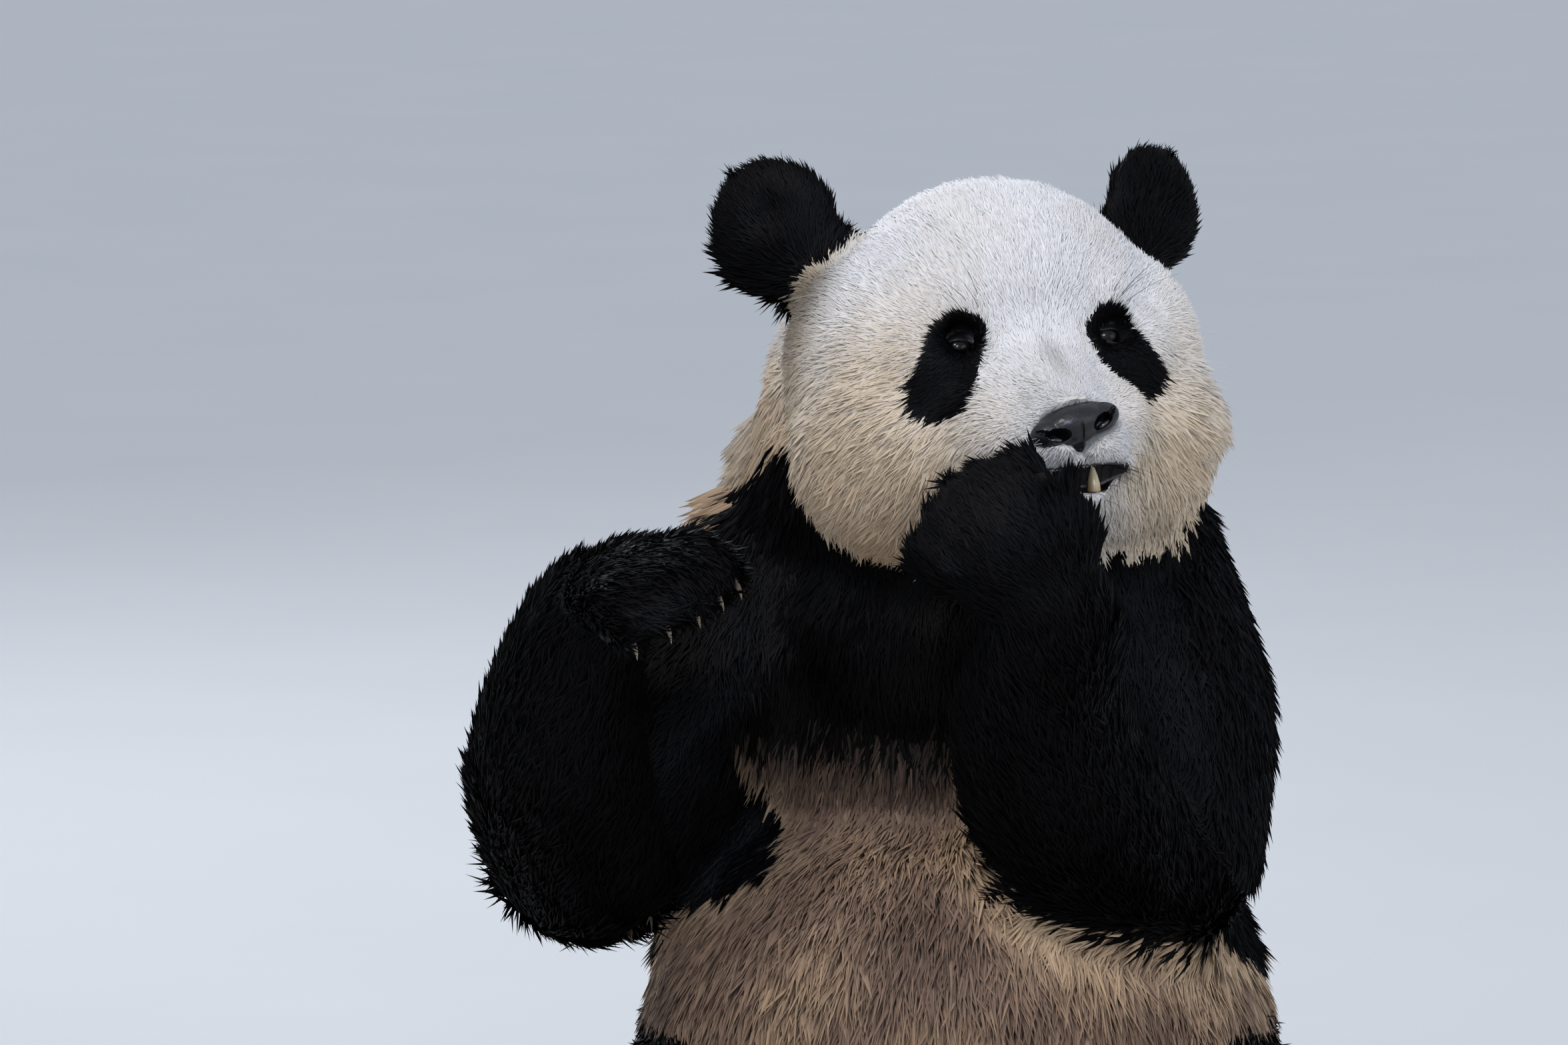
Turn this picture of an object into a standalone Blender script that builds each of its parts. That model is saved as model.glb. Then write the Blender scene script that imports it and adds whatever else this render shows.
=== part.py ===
"""Giant panda, life size, sitting upright on its rump with both forelegs raised.

The left forepaw is held before the mouth and the right one beside the chest, as
a panda holds its food. Every solid reaches to the tips of the coat.

Metres, +Z up. The trunk faces -Y, and the panda's left is +X. The root empty
moves the finished animal so that the middle of its box stands on the origin.
"""

from math import ceil, cos, pi, radians, sin

import bmesh
import bpy
from mathutils import Matrix, Vector

MM = 0.001

# ---- sizes and places that drive the rest ----
HEAD_AT = Vector((21 * MM, -20 * MM, 715 * MM))
HEAD_TURN = 19.0  # degrees, towards the panda's left
HEAD_LIFT = 14.0  # degrees, nose up
EYE_RADIUS = 11 * MM
EYE_AT = Vector((61 * MM, -97 * MM, 16 * MM))  # the left eye, from the head's middle
EAR_AT = Vector((150 * MM, 27 * MM, 120 * MM))
NOSE_AT = Vector((0, -186 * MM, -62 * MM))
MOUTH_WIDTH = 104 * MM
MOUTH_AT = Vector((0, -116 * MM, -86 * MM))  # midway between its corners
CLAW_LENGTH = 26 * MM
CLAW_WIDTH = 9 * MM
HAND_LENGTH = 84 * MM  # wrist to knuckles
FOOT_LENGTH = 105 * MM
HAND_CURL = 62  # degrees
FOOT_CURL = 26

GAP = 0.3 * MM  # between neighbouring solids
BODY_VOXEL = 9 * MM
HEAD_VOXEL = 6 * MM
LIMB_VOXEL = 4.5 * MM
MERGE = 0.02 * MM

SIDES = (("left", 1), ("right", -1))

MATERIALS = {
    "white_coat": ((0.80, 0.74, 0.66, 1), 0.75),
    "black_coat": ((0.012, 0.011, 0.013, 1), 0.7),
    "nose_leather": ((0.016, 0.015, 0.017, 1), 0.35),
    "eye": ((0.02, 0.011, 0.007, 1), 0.08),
    "claw_horn": ((0.45, 0.38, 0.30, 1), 0.4),
    "tooth": ((0.80, 0.70, 0.52, 1), 0.3),
}


# ---- tools ----
def clear_scene():
    for thing in list(bpy.data.objects):
        bpy.data.objects.remove(thing)


def material(name):
    """The Principled material of that name, made once."""
    found = bpy.data.materials.get(name)
    if found:
        return found
    colour, roughness = MATERIALS[name]
    made = bpy.data.materials.new(name)
    made.use_nodes = True
    shader = made.node_tree.nodes["Principled BSDF"]
    shader.inputs["Base Color"].default_value = colour
    shader.inputs["Roughness"].default_value = roughness
    made.diffuse_color = colour
    return made


def placed(location, turn=(0, 0, 0), size=(1, 1, 1)):
    """A matrix from a place, Euler degrees and a size."""
    spin = (
        Matrix.Rotation(radians(turn[2]), 3, "Z")
        @ Matrix.Rotation(radians(turn[1]), 3, "Y")
        @ Matrix.Rotation(radians(turn[0]), 3, "X")
    )
    return Matrix.LocRotScale(Vector(location), spin, Vector(size))


def frame_of(origin, along, face):
    """A frame with +Y along one way and +Z as near as can be to another."""
    y = Vector(along).normalized()
    x = y.cross(Vector(face)).normalized()
    z = x.cross(y)
    spin = Matrix((x, y, z)).transposed()
    return Matrix.Translation(Vector(origin)) @ spin.to_4x4()


def mirrored(point, side):
    return Vector((point[0] * side, point[1], point[2]))


def ball(clay, centre, radii, turn=(0, 0, 0), frame=None, detail=3):
    """Adds an ellipsoid to the clay."""
    shape = placed(centre, turn, radii)
    if frame is not None:
        shape = frame @ shape
    bmesh.ops.create_icosphere(clay, subdivisions=detail, radius=1, matrix=shape)


def limb(clay, stations, frame=None):
    """Adds a tapering limb: balls on a smooth line through (point, radius) stations."""
    points = [Vector(point) for point, _ in stations]
    radii = [radius for _, radius in stations]
    last = len(points) - 1
    for i in range(last):
        before, after = points[max(i - 1, 0)], points[min(i + 2, last)]
        start, end = points[i], points[i + 1]
        spacing = 0.3 * min(radii[i], radii[i + 1])
        steps = max(2, ceil((end - start).length / spacing))
        for step in range(steps + 1):
            t = step / steps
            curve = 0.5 * (
                2 * start
                + (end - before) * t
                + (2 * before - 5 * start + 4 * end - after) * t**2
                + (3 * start - before - 3 * end + after) * t**3
            )
            radius = radii[i] + (radii[i + 1] - radii[i]) * t
            ball(clay, curve, (radius,) * 3, frame=frame)


def thing_from(name, mesh):
    made = bpy.data.objects.new(name, mesh)
    bpy.context.scene.collection.objects.link(made)
    return made


def thing_of(name, form):
    """A new object from a bmesh, which is freed."""
    mesh = bpy.data.meshes.new(name)
    form.to_mesh(mesh)
    form.free()
    return thing_from(name, mesh)


def helper(thing):
    """Marks a cutter, which is no part of the animal."""
    thing.hide_render = True
    thing.display_type = "WIRE"
    return thing


def evaluated_mesh(thing):
    """The thing's mesh with its modifiers applied."""
    graph = bpy.context.evaluated_depsgraph_get()
    return bpy.data.meshes.new_from_object(thing.evaluated_get(graph))


def islands(form):
    """The form's separate bodies as lists of vertices, the largest first."""
    left, found = set(form.verts), []
    while left:
        front, body = [left.pop()], []
        while front:
            vert = front.pop()
            body.append(vert)
            for edge in vert.link_edges:
                other = edge.other_vert(vert)
                if other in left:
                    left.remove(other)
                    front.append(other)
        found.append(body)
    return sorted(found, key=len, reverse=True)


def settle(thing):
    """Applies the thing's modifiers and keeps its largest closed body."""
    mesh = evaluated_mesh(thing)
    thing.modifiers.clear()
    thing.data = mesh
    form = bmesh.new()
    form.from_mesh(mesh)
    bmesh.ops.remove_doubles(form, verts=form.verts, dist=MERGE)
    bmesh.ops.dissolve_degenerate(form, edges=form.edges, dist=MERGE)
    for body in islands(form)[1:]:
        bmesh.ops.delete(form, geom=body, context="VERTS")
    level = radians(0.05)
    bmesh.ops.dissolve_limit(form, angle_limit=level, verts=form.verts, edges=form.edges)
    bmesh.ops.triangulate(form, faces=form.faces)
    form.to_mesh(mesh)
    form.free()
    return thing


def cut_flat(thing, point, outward):
    """Cuts away what lies outward of a plane, and closes the cut."""
    form = bmesh.new()
    form.from_mesh(thing.data)
    cut = bmesh.ops.bisect_plane(
        form,
        geom=form.verts[:] + form.edges[:] + form.faces[:],
        dist=MERGE / 2,
        plane_co=point,
        plane_no=outward,
        clear_outer=True,
    )
    edges = [e for e in cut["geom_cut"] if isinstance(e, bmesh.types.BMEdge)]
    bmesh.ops.holes_fill(form, edges=edges, sides=0)
    bmesh.ops.triangulate(form, faces=form.faces)
    bmesh.ops.recalc_face_normals(form, faces=form.faces)
    form.to_mesh(thing.data)
    form.free()
    return thing


def fused(name, clay, voxel, smoothing, triangles):
    """One smooth closed form: voxels fuse the clay, smoothing melts its creases,
    collapsing leaves about that many triangles, and the floor cuts it flat."""
    thing = thing_of(name, clay)
    remesh = thing.modifiers.new("fuse", "REMESH")
    remesh.mode = "VOXEL"
    remesh.voxel_size = voxel
    smooth = thing.modifiers.new("melt", "SMOOTH")
    smooth.factor = 0.5
    smooth.iterations = smoothing
    full = evaluated_mesh(thing)
    full.calc_loop_triangles()
    collapse = thing.modifiers.new("collapse", "DECIMATE")
    collapse.ratio = min(1, triangles / len(full.loop_triangles))
    collapse.use_collapse_triangulate = True
    bpy.data.meshes.remove(full)
    settle(thing)
    return cut_flat(thing, (0, 0, 0), (0, 0, -1))


def grown(thing):
    """A cutter: a copy of the thing, larger by the gap all round."""
    cutter = helper(thing_from("cutter_" + thing.name, thing.data.copy()))
    swell = cutter.modifiers.new("swell", "DISPLACE")
    swell.strength = GAP * 1.3
    swell.mid_level = 0
    mesh = evaluated_mesh(cutter)
    cutter.modifiers.clear()
    cutter.data = mesh
    return cutter


def combine(thing, cutter, operation):
    """Cuts the thing with a cutter, or keeps only what is inside it."""
    cut = thing.modifiers.new("cut", "BOOLEAN")
    cut.operation = operation
    cut.solver = "EXACT"
    cut.object = cutter
    return settle(thing)


def bite(thing, form):
    """Cuts a form out of the thing."""
    cutter = helper(thing_of("cutter", form))
    combine(thing, cutter, "DIFFERENCE")
    bpy.data.objects.remove(cutter)


def carve(thing, *others):
    """Cuts the others out of the thing, with the gap between them."""
    for other in others:
        cutter = grown(other)
        combine(thing, cutter, "DIFFERENCE")
        bpy.data.objects.remove(cutter)


def box(location, turn, size):
    """A closed box, as a cutter."""
    form = bmesh.new()
    bmesh.ops.create_cube(form, size=1, matrix=placed(location, turn, size))
    return helper(thing_of("cutter_box", form))


def split_off(thing, name, location, turn, size):
    """Parts what lies in a box from the thing, as a new object, with a thin cut."""
    inner = box(location, turn, size)
    outer = box(location, turn, [side + 2 * GAP for side in size])
    piece = thing_from(name, thing.data.copy())
    combine(piece, inner, "INTERSECT")
    combine(thing, outer, "DIFFERENCE")
    bpy.data.objects.remove(inner)
    bpy.data.objects.remove(outer)
    return piece


def split_by_plane(thing, name, point, normal):
    """Parts what lies beyond a plane from the thing, as a new object, with a thin cut."""
    normal = Vector(normal).normalized()
    piece = thing_from(name, thing.data.copy())
    cut_flat(piece, Vector(point) + normal * GAP / 2, -normal)
    cut_flat(thing, Vector(point) - normal * GAP / 2, normal)
    settle(piece)
    settle(thing)
    return piece


# ---- head ----
def head_frame():
    """From the head's own axes, with the face to -Y, to the animal's."""
    turn = Matrix.Rotation(radians(HEAD_TURN), 4, "Z")
    lift = Matrix.Rotation(radians(-HEAD_LIFT), 4, "X")
    return Matrix.Translation(HEAD_AT) @ turn @ lift


def nape():
    """The plane between head and neck: a point on it, and its way to the head."""
    place = head_frame()
    return place @ Vector((0, 0.050, -0.040)), place.to_3x3() @ Vector((0, -0.75, 0.66))


def add_head(clay):
    """Skull, heavy cheeks, domed brow and short muzzle."""
    place = head_frame()
    ball(clay, (0, -0.012, 0.034), (0.132, 0.116, 0.119), frame=place)
    ball(clay, (0, -0.060, 0.042), (0.094, 0.072, 0.084), frame=place)
    for _, side in SIDES:
        ball(clay, (0.083 * side, -0.030, -0.056), (0.092, 0.092, 0.093), frame=place)
        ball(clay, (0.098 * side, -0.005, 0.008), (0.070, 0.088, 0.090), frame=place)
        ball(clay, (0.070 * side, -0.066, -0.012), (0.060, 0.056, 0.066), frame=place)
        ball(clay, (0.048 * side, -0.082, 0.040), (0.042, 0.044, 0.038), frame=place)
        ball(clay, (0.022 * side, -0.148, -0.074), (0.030, 0.036, 0.026), frame=place)
        ball(clay, (0.044 * side, -0.105, -0.058), (0.044, 0.050, 0.046), frame=place)
    bridge = [
        ((0, -0.085, -0.014), 0.052),
        ((0, -0.125, -0.044), 0.044),
        ((0, -0.158, -0.062), 0.034),
    ]
    limb(clay, bridge, frame=place)
    chin = [((0, -0.060, -0.090), 0.052), ((0, -0.142, -0.102), 0.030)]
    limb(clay, chin, frame=place)


def add_neck(clay):
    """The thick neck, from the withers into the back of the skull."""
    limb(clay, [((-0.008, 0.085, 0.560), 0.170), ((-0.004, 0.040, 0.655), 0.150)])
    ball(clay, (-0.010, 0.030, 0.700), (0.146, 0.130, 0.120))


def mouth_wedge():
    """The gap between the lips: a wedge that opens forward from the corners."""
    open_by = 13 * MM
    reach = 110 * MM
    behind = 2 * MM
    form = bmesh.new()
    bmesh.ops.create_cube(form, size=1)
    for vert in form.verts:
        ahead = vert.co.y < 0
        half = open_by / 2 if ahead else 1.2 * MM
        vert.co.x *= MOUTH_WIDTH
        vert.co.y = -reach if ahead else behind
        vert.co.z = half if vert.co.z > 0 else -half
    form.transform(head_frame() @ mouth_hinge())
    return form


def mouth_hinge():
    """The line through the corners of the mouth, in the head's axes."""
    return placed(MOUTH_AT, (10, 0, 0))


def nose_form():
    """The bare nose pad, broad above and narrow below, with its two nostrils."""
    place = head_frame() @ Matrix.Translation(NOSE_AT)
    clay = bmesh.new()
    ball(clay, (0, 0.004, 0.004), (0.024, 0.016, 0.016), frame=place)
    ball(clay, (0, 0.006, -0.009), (0.013, 0.014, 0.013), frame=place)
    for _, side in SIDES:
        ball(clay, (0.017 * side, 0.007, 0.003), (0.014, 0.015, 0.0125), frame=place)
    pad = fused("nose", clay, 1.6 * MM, 4, 180)
    for _, side in SIDES:
        hole = bmesh.new()
        centre = (0.0175 * side, -0.009, -0.001)
        radii = (0.0085, 0.0085, 0.0045)
        ball(hole, centre, radii, (0, -22 * side, -25 * side), place, detail=1)
        bite(pad, hole)
    return pad


def ear_form(name, side):
    """A round upright ear, thick with hair, cupped forward and out."""
    place = head_frame()
    lean = Matrix.Rotation(radians(38 * side), 4, "Y")
    ear = place @ placed(mirrored(EAR_AT, side), (0, 0, 28 * side)) @ lean
    clay = bmesh.new()
    ball(clay, (0, 0, 0.006), (0.050, 0.019, 0.052), frame=ear)
    ball(clay, (0, 0.006, -0.032), (0.038, 0.022, 0.036), frame=ear)
    thing = fused(name, clay, 4 * MM, 3, 120)
    hollow = bmesh.new()
    ball(hollow, (0, -0.030, 0.006), (0.029, 0.020, 0.031), frame=ear, detail=1)
    bite(thing, hollow)
    return thing


def eyeball(name, centre):
    form = bmesh.new()
    bmesh.ops.create_uvsphere(
        form,
        u_segments=8,
        v_segments=6,
        radius=EYE_RADIUS,
        matrix=head_frame() @ Matrix.Translation(centre),
    )
    bmesh.ops.triangulate(form, faces=form.faces)
    return thing_of(name, form)


def horn(name, frame, length, width, bend, flat=1.0):
    """A curved tapering cone along +Y that bends towards -Z: a claw or a tooth."""
    sections, sides = 2, 4
    form = bmesh.new()
    middle, heading = Vector(), Vector((0, 1, 0))
    turn = Matrix.Rotation(radians(-bend / sections), 3, "X")
    last_ring = None
    for step in range(sections + 1):
        radius = width / 2 * max(0.1, 1 - (step / sections) ** 1.6)
        upward = Vector((1, 0, 0)).cross(heading)
        ring = []
        for corner in range(sides):
            angle = 2 * pi * corner / sides
            across = Vector((cos(angle) * flat, 0, 0))
            ring.append(form.verts.new(middle + (across + upward * sin(angle)) * radius))
        if last_ring is None:
            form.faces.new(ring)
        else:
            for corner in range(sides):
                after = (corner + 1) % sides
                form.faces.new([last_ring[corner], last_ring[after], ring[after], ring[corner]])
        last_ring = ring
        middle = middle + heading * length / sections
        heading = turn @ heading
    form.faces.new(last_ring)
    bmesh.ops.triangulate(form, faces=form.faces)
    bmesh.ops.recalc_face_normals(form, faces=form.faces)
    form.transform(frame)
    return thing_of(name, form)


def orbit(side):
    """The hollow in front of an eye, slanted as its lids are."""
    form = bmesh.new()
    centre = mirrored(EYE_AT, side) + Vector((1 * MM * side, -15 * MM, 0))
    turn = (0, 18 * side, 22 * side)
    ball(form, centre, (0.0165, 0.014, 0.0115), turn, head_frame(), detail=1)
    return form


def make_head():
    """The head's nodes, by name."""
    place = head_frame()
    clay = bmesh.new()
    add_head(clay)
    add_neck(clay)
    head = fused("head", clay, HEAD_VOXEL, 6, 1750)
    point, way = nape()
    cut_flat(head, point + way * GAP / 2, -way)
    parts = {"head": head}
    for word, side in SIDES:
        eye = eyeball("eye_" + word, mirrored(EYE_AT, side))
        bite(head, orbit(side))
        carve(head, eye)
        ear = ear_form("ear_" + word, side)
        carve(ear, head)
        parts[eye.name] = eye
        parts[ear.name] = ear
    parts["nose"] = nose_form()
    carve(head, parts["nose"])
    bite(head, mouth_wedge())
    deep = 120 * MM
    parts["jaw"] = split_off(
        head,
        "jaw",
        place @ mouth_hinge() @ Vector((0, -deep / 2, -deep / 2)),
        (10 - HEAD_LIFT, 0, HEAD_TURN),
        (200 * MM, deep, deep),
    )
    for word, side in SIDES:
        root = place @ placed((0.021 * side, -0.160, -0.112), (95, 0, 0))
        tooth = horn("tooth_" + word, root, 19 * MM, 9 * MM, 18)
        carve(tooth, parts["jaw"])
        parts[tooth.name] = tooth
    return parts


# ---- paws ----
def paw_digits(length, curl):
    """A paw's five digits, along +Y and curling to -Z: root, knuckle, tip and heading."""
    found = []
    for number in range(5):
        offset = number - 2
        root = Vector((offset * 0.0225, length - 0.0035 * offset**2, 0.004))
        out = Matrix.Rotation(radians(-offset * 5), 3, "Z")
        first = out @ Matrix.Rotation(radians(-curl * 0.4), 3, "X") @ Vector((0, 1, 0))
        second = out @ Matrix.Rotation(radians(-curl), 3, "X") @ Vector((0, 1, 0))
        knuckle = root + first * 0.024
        found.append((root, knuckle, knuckle + second * 0.022, second))
    return found


def add_paw(clay, frame, length, curl, thumb):
    """Adds a paw: its flat body, five digits, the pads below and the false thumb."""
    ball(clay, (0, length * 0.50, 0), (0.052, length * 0.62, 0.031), frame=frame)
    ball(clay, (0, length * 0.72, -0.016), (0.044, 0.022, 0.016), frame=frame)
    ball(clay, (0.034 * thumb, length * 0.36, -0.020), (0.020, 0.024, 0.016), frame=frame)
    for root, knuckle, tip, _ in paw_digits(length, curl):
        limb(clay, [(root, 0.0165), (knuckle, 0.0150), (tip, 0.0135)], frame=frame)


def paw_claws(label, frame, length, curl):
    """The five claws of a paw, each with its root inside its digit."""
    claws = []
    for number, (_, _, tip, heading) in enumerate(paw_digits(length, curl), 1):
        upward = Vector((1, 0, 0)).cross(heading)
        root = frame_of(tip + heading * 3 * MM + upward * 3 * MM, heading, upward)
        name = f"claw_{label}_{number}"
        claws.append(horn(name, frame @ root, CLAW_LENGTH, CLAW_WIDTH, 50, 0.62))
    return claws


def lower_limb(kinds, word, stations, joint, paw_frame, shape, triangles):
    """A shank or forearm with its paw: one form, cut flat at its upper joint and
    parted at the wrist. shape holds the paw's length, curl and thumb side."""
    clay = bmesh.new()
    limb(clay, stations)
    add_paw(clay, paw_frame, *shape)
    upper = fused(f"{kinds[0]}_{word}", clay, LIMB_VOXEL, 7, triangles)
    cut_flat(upper, *joint)
    settle(upper)
    length, curl, _ = shape
    arm_way = Vector(stations[-1][0]) - Vector(stations[-2][0])
    wrist_way = paw_frame.to_3x3() @ Vector((0, 1, 0)) + arm_way.normalized()
    label = f"{kinds[1]}_{word}"
    paw = split_by_plane(upper, label, paw_frame.translation, wrist_way)
    claws = paw_claws(label, paw_frame, length, curl)
    for claw in claws:
        carve(claw, paw)
    return {thing.name: thing for thing in [upper, paw, *claws]}


def make_forearms():
    """The left forearm, folded up to the mouth, and the right one, beside the chest."""
    left = [
        ((0.150, -0.100, 0.350), 0.080),
        ((0.085, -0.155, 0.400), 0.086),
        ((0.056, -0.205, 0.480), 0.070),
        ((0.068, -0.257, 0.552), 0.050),
    ]
    left_paw = frame_of((0.072, -0.274, 0.570), (-0.66, -0.04, 0.75), (-0.25, -0.80, 0.45))
    left_paw = left_paw @ Matrix.Rotation(radians(-8), 4, "X")
    right = [
        ((-0.285, -0.085, 0.350), 0.078),
        ((-0.306, -0.130, 0.420), 0.076),
        ((-0.300, -0.160, 0.495), 0.062),
        ((-0.284, -0.178, 0.552), 0.048),
    ]
    right_paw = frame_of((-0.280, -0.182, 0.574), (0.42, -0.74, 0.34), (-0.15, -0.35, 0.90))
    right_paw = right_paw @ Matrix.Rotation(radians(-10), 4, "X")
    kinds = ("forearm", "hand")
    parts = lower_limb(
        kinds, "left", left, ((0.150, -0.095, 0.350), (0.30, 0.92, 0.10)),
        left_paw, (HAND_LENGTH, HAND_CURL, 1), 560,
    )
    parts.update(
        lower_limb(
            kinds, "right", right, ((-0.285, -0.080, 0.355), (0.05, 0.85, -0.50)),
            right_paw, (HAND_LENGTH, HAND_CURL, -1), 560,
        )
    )
    return parts


def make_shanks():
    """Both shanks with their feet: legs spread forward on the floor, soles ahead."""
    parts = {}
    for word, side in SIDES:
        stations = [
            (mirrored((0.245, -0.180, 0.100), side), 0.092),
            (mirrored((0.240, -0.280, 0.080), side), 0.076),
            (mirrored((0.226, -0.368, 0.066), side), 0.062),
            (mirrored((0.222, -0.405, 0.060), side), 0.054),
        ]
        foot = frame_of(
            mirrored((0.222, -0.418, 0.062), side),
            mirrored((0.12, -0.42, 0.90), side),
            mirrored((0.05, 0.90, 0.42), side),
        )
        knee = (mirrored((0.245, -0.190, 0.100), side), mirrored((0.15, 1, 0), side))
        shape = (FOOT_LENGTH, FOOT_CURL, -side)
        parts.update(lower_limb(("shank", "foot"), word, stations, knee, foot, shape, 440))
    return parts


# ---- trunk ----
def trunk_form():
    """Trunk, neck, upper arms, thighs and tail in one smooth form."""
    clay = bmesh.new()
    add_head(clay)
    add_neck(clay)
    ball(clay, (0, -0.010, 0.220), (0.252, 0.220, 0.205))
    ball(clay, (0, 0.075, 0.130), (0.225, 0.190, 0.150))
    ball(clay, (0, 0.050, 0.420), (0.190, 0.165, 0.190))
    ball(clay, (0, 0.110, 0.520), (0.180, 0.130, 0.120))
    ball(clay, (0, -0.030, 0.520), (0.140, 0.105, 0.105))
    ball(clay, (0, 0.092, 0.350), (0.208, 0.165, 0.190))
    left_arm = [
        ((0.122, 0.030, 0.565), 0.092),
        ((0.162, -0.030, 0.460), 0.090),
        ((0.160, -0.088, 0.365), 0.082),
    ]
    right_arm = [
        ((-0.140, 0.040, 0.535), 0.088),
        ((-0.215, -0.020, 0.450), 0.086),
        ((-0.282, -0.072, 0.365), 0.078),
    ]
    limb(clay, left_arm)
    limb(clay, right_arm)
    for _, side in SIDES:
        thigh = [
            (mirrored((0.130, 0.040, 0.110), side), 0.130),
            (mirrored((0.200, -0.080, 0.105), side), 0.115),
            (mirrored((0.243, -0.180, 0.098), side), 0.092),
        ]
        limb(clay, thigh)
    tail = [((0, 0.210, 0.080), 0.050), ((0, 0.300, 0.044), 0.046), ((0, 0.345, 0.032), 0.032)]
    limb(clay, tail)
    return fused("belly", clay, BODY_VOXEL, 8, 1650)


def make_trunk(neighbours):
    """The trunk's nodes, by name, cut clear of its neighbours."""
    trunk = trunk_form()
    point, way = nape()
    cut_flat(trunk, point - way * GAP / 2, way)
    settle(trunk)
    carve(trunk, *neighbours)
    parts = {}
    arm_boxes = {
        "left": ((0.270, -0.025, 0.455), (-24, 6, 0), (0.26, 0.23, 0.34)),
        "right": ((-0.330, -0.030, 0.445), (-20, -24, 0), (0.30, 0.23, 0.34)),
    }
    for word, side in SIDES:
        name = "upper_arm_" + word
        parts[name] = split_off(trunk, name, *arm_boxes[word])
    for word, side in SIDES:
        name = "thigh_" + word
        middle = mirrored((0.285, -0.150, 0.060), side)
        parts[name] = split_off(trunk, name, middle, (0, 0, 24 * side), (0.26, 0.44, 0.34))
    parts["tail"] = split_off(trunk, "tail", (0, 0.360, 0.05), (0, 0, 0), (0.2, 0.20, 0.2))
    parts["chest"] = split_by_plane(trunk, "chest", (0, 0, 0.350), (0, -0.10, 1))
    parts["neck"] = split_by_plane(parts["chest"], "neck", (0, 0.06, 0.575), (0, -0.30, 1))
    parts["belly"] = trunk
    return parts


# ---- finishing ----
def finish_of(name):
    """The material of a node, by its name."""
    for word, finish in (
        ("claw", "claw_horn"),
        ("tooth", "tooth"),
        ("eye", "eye"),
        ("nose", "nose_leather"),
    ):
        if name.startswith(word):
            return finish
    whites = ("head", "jaw", "neck", "belly", "tail")
    return "white_coat" if name in whites else "black_coat"


def stand_on_origin(parts):
    """Parents every part to one empty, which puts the middle of the box's foot on the origin."""
    corners = [v.co for thing in parts.values() for v in thing.data.vertices]
    low = Vector([min(c[i] for c in corners) for i in range(3)])
    high = Vector([max(c[i] for c in corners) for i in range(3)])
    root = bpy.data.objects.new("giant_panda", None)
    bpy.context.scene.collection.objects.link(root)
    root.location = (-(low.x + high.x) / 2, -(low.y + high.y) / 2, -low.z)
    for thing in parts.values():
        thing.parent = root


def main():
    clear_scene()
    parts = make_head()
    parts.update(make_forearms())
    parts.update(make_shanks())
    flesh = ("forearm", "hand", "shank", "foot")
    neighbours = [thing for name, thing in parts.items() if name.startswith(flesh)]
    parts.update(make_trunk(neighbours))
    for name, thing in parts.items():
        thing.name = name
        thing.data.materials.clear()
        thing.data.materials.append(material(finish_of(name)))
        thing.data.shade_smooth()
    stand_on_origin(parts)


main()
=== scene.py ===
"""The looks of a giant panda, life size, sitting up with both forepaws raised.

One hide replaces the solids of flesh and lies under them by the depth of the coat.
Locks of hair stand on the hide and reach back out to the solids' outline. Lids,
eyes, nose, teeth, pads and claws are pieces of their own. Metres, +Z up; the
animal faces -Y and its left is +X.
"""

from math import cos, pi, radians, sin

import bmesh
import bpy
import numpy as np
from mathutils import Matrix, Vector
from mathutils.bvhtree import BVHTree
from mathutils.kdtree import KDTree


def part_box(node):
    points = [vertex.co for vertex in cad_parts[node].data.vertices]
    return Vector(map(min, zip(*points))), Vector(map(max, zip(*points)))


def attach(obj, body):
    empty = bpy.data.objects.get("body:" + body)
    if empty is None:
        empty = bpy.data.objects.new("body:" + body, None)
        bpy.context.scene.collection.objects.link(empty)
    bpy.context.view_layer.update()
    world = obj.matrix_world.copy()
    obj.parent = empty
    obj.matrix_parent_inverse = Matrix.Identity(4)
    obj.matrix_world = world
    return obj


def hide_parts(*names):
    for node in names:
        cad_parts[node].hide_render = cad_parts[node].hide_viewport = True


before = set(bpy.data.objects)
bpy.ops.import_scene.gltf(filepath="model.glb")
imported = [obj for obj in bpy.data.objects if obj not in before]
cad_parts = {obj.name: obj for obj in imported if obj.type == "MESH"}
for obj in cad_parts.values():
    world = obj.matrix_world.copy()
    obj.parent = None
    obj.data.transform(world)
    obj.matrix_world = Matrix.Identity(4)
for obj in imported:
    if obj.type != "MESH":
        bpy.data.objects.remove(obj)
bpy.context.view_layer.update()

MM = 0.001
SIDES = (("left", 1), ("right", -1))
dice = np.random.default_rng(7)

# ---- the values the solids were made from; places on the head are in its own axes ----
HEAD_LIFT = 14.0  # degrees, nose up
HEAD_AT = Vector((21, -20, 715)) * MM
BETWEEN_EYES = Vector((0, -97, 16)) * MM
EYE_RADIUS = 11 * MM
NOSE_AT = Vector((0, -186, -62)) * MM
NOSE_TILT = radians(-15)  # it leans with the face
MOUTH_AT = Vector((0, -116, -86)) * MM
MOUTH_WIDTH = 104 * MM
MOUTH_SLOPE = radians(10)
EAR_AT = Vector((150, 27, 120)) * MM
HAND = (84 * MM, 62)  # wrist to knuckles, and the digits' curl in degrees
FOOT = (105 * MM, 26)

# where the eyeballs sit in the hide, by side: a little inside the solids' own eyes
EYE_SPOTS = {1: Vector((57, -99, 12.5)) * MM, -1: Vector((-61.5, -97, 9)) * MM}

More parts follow.
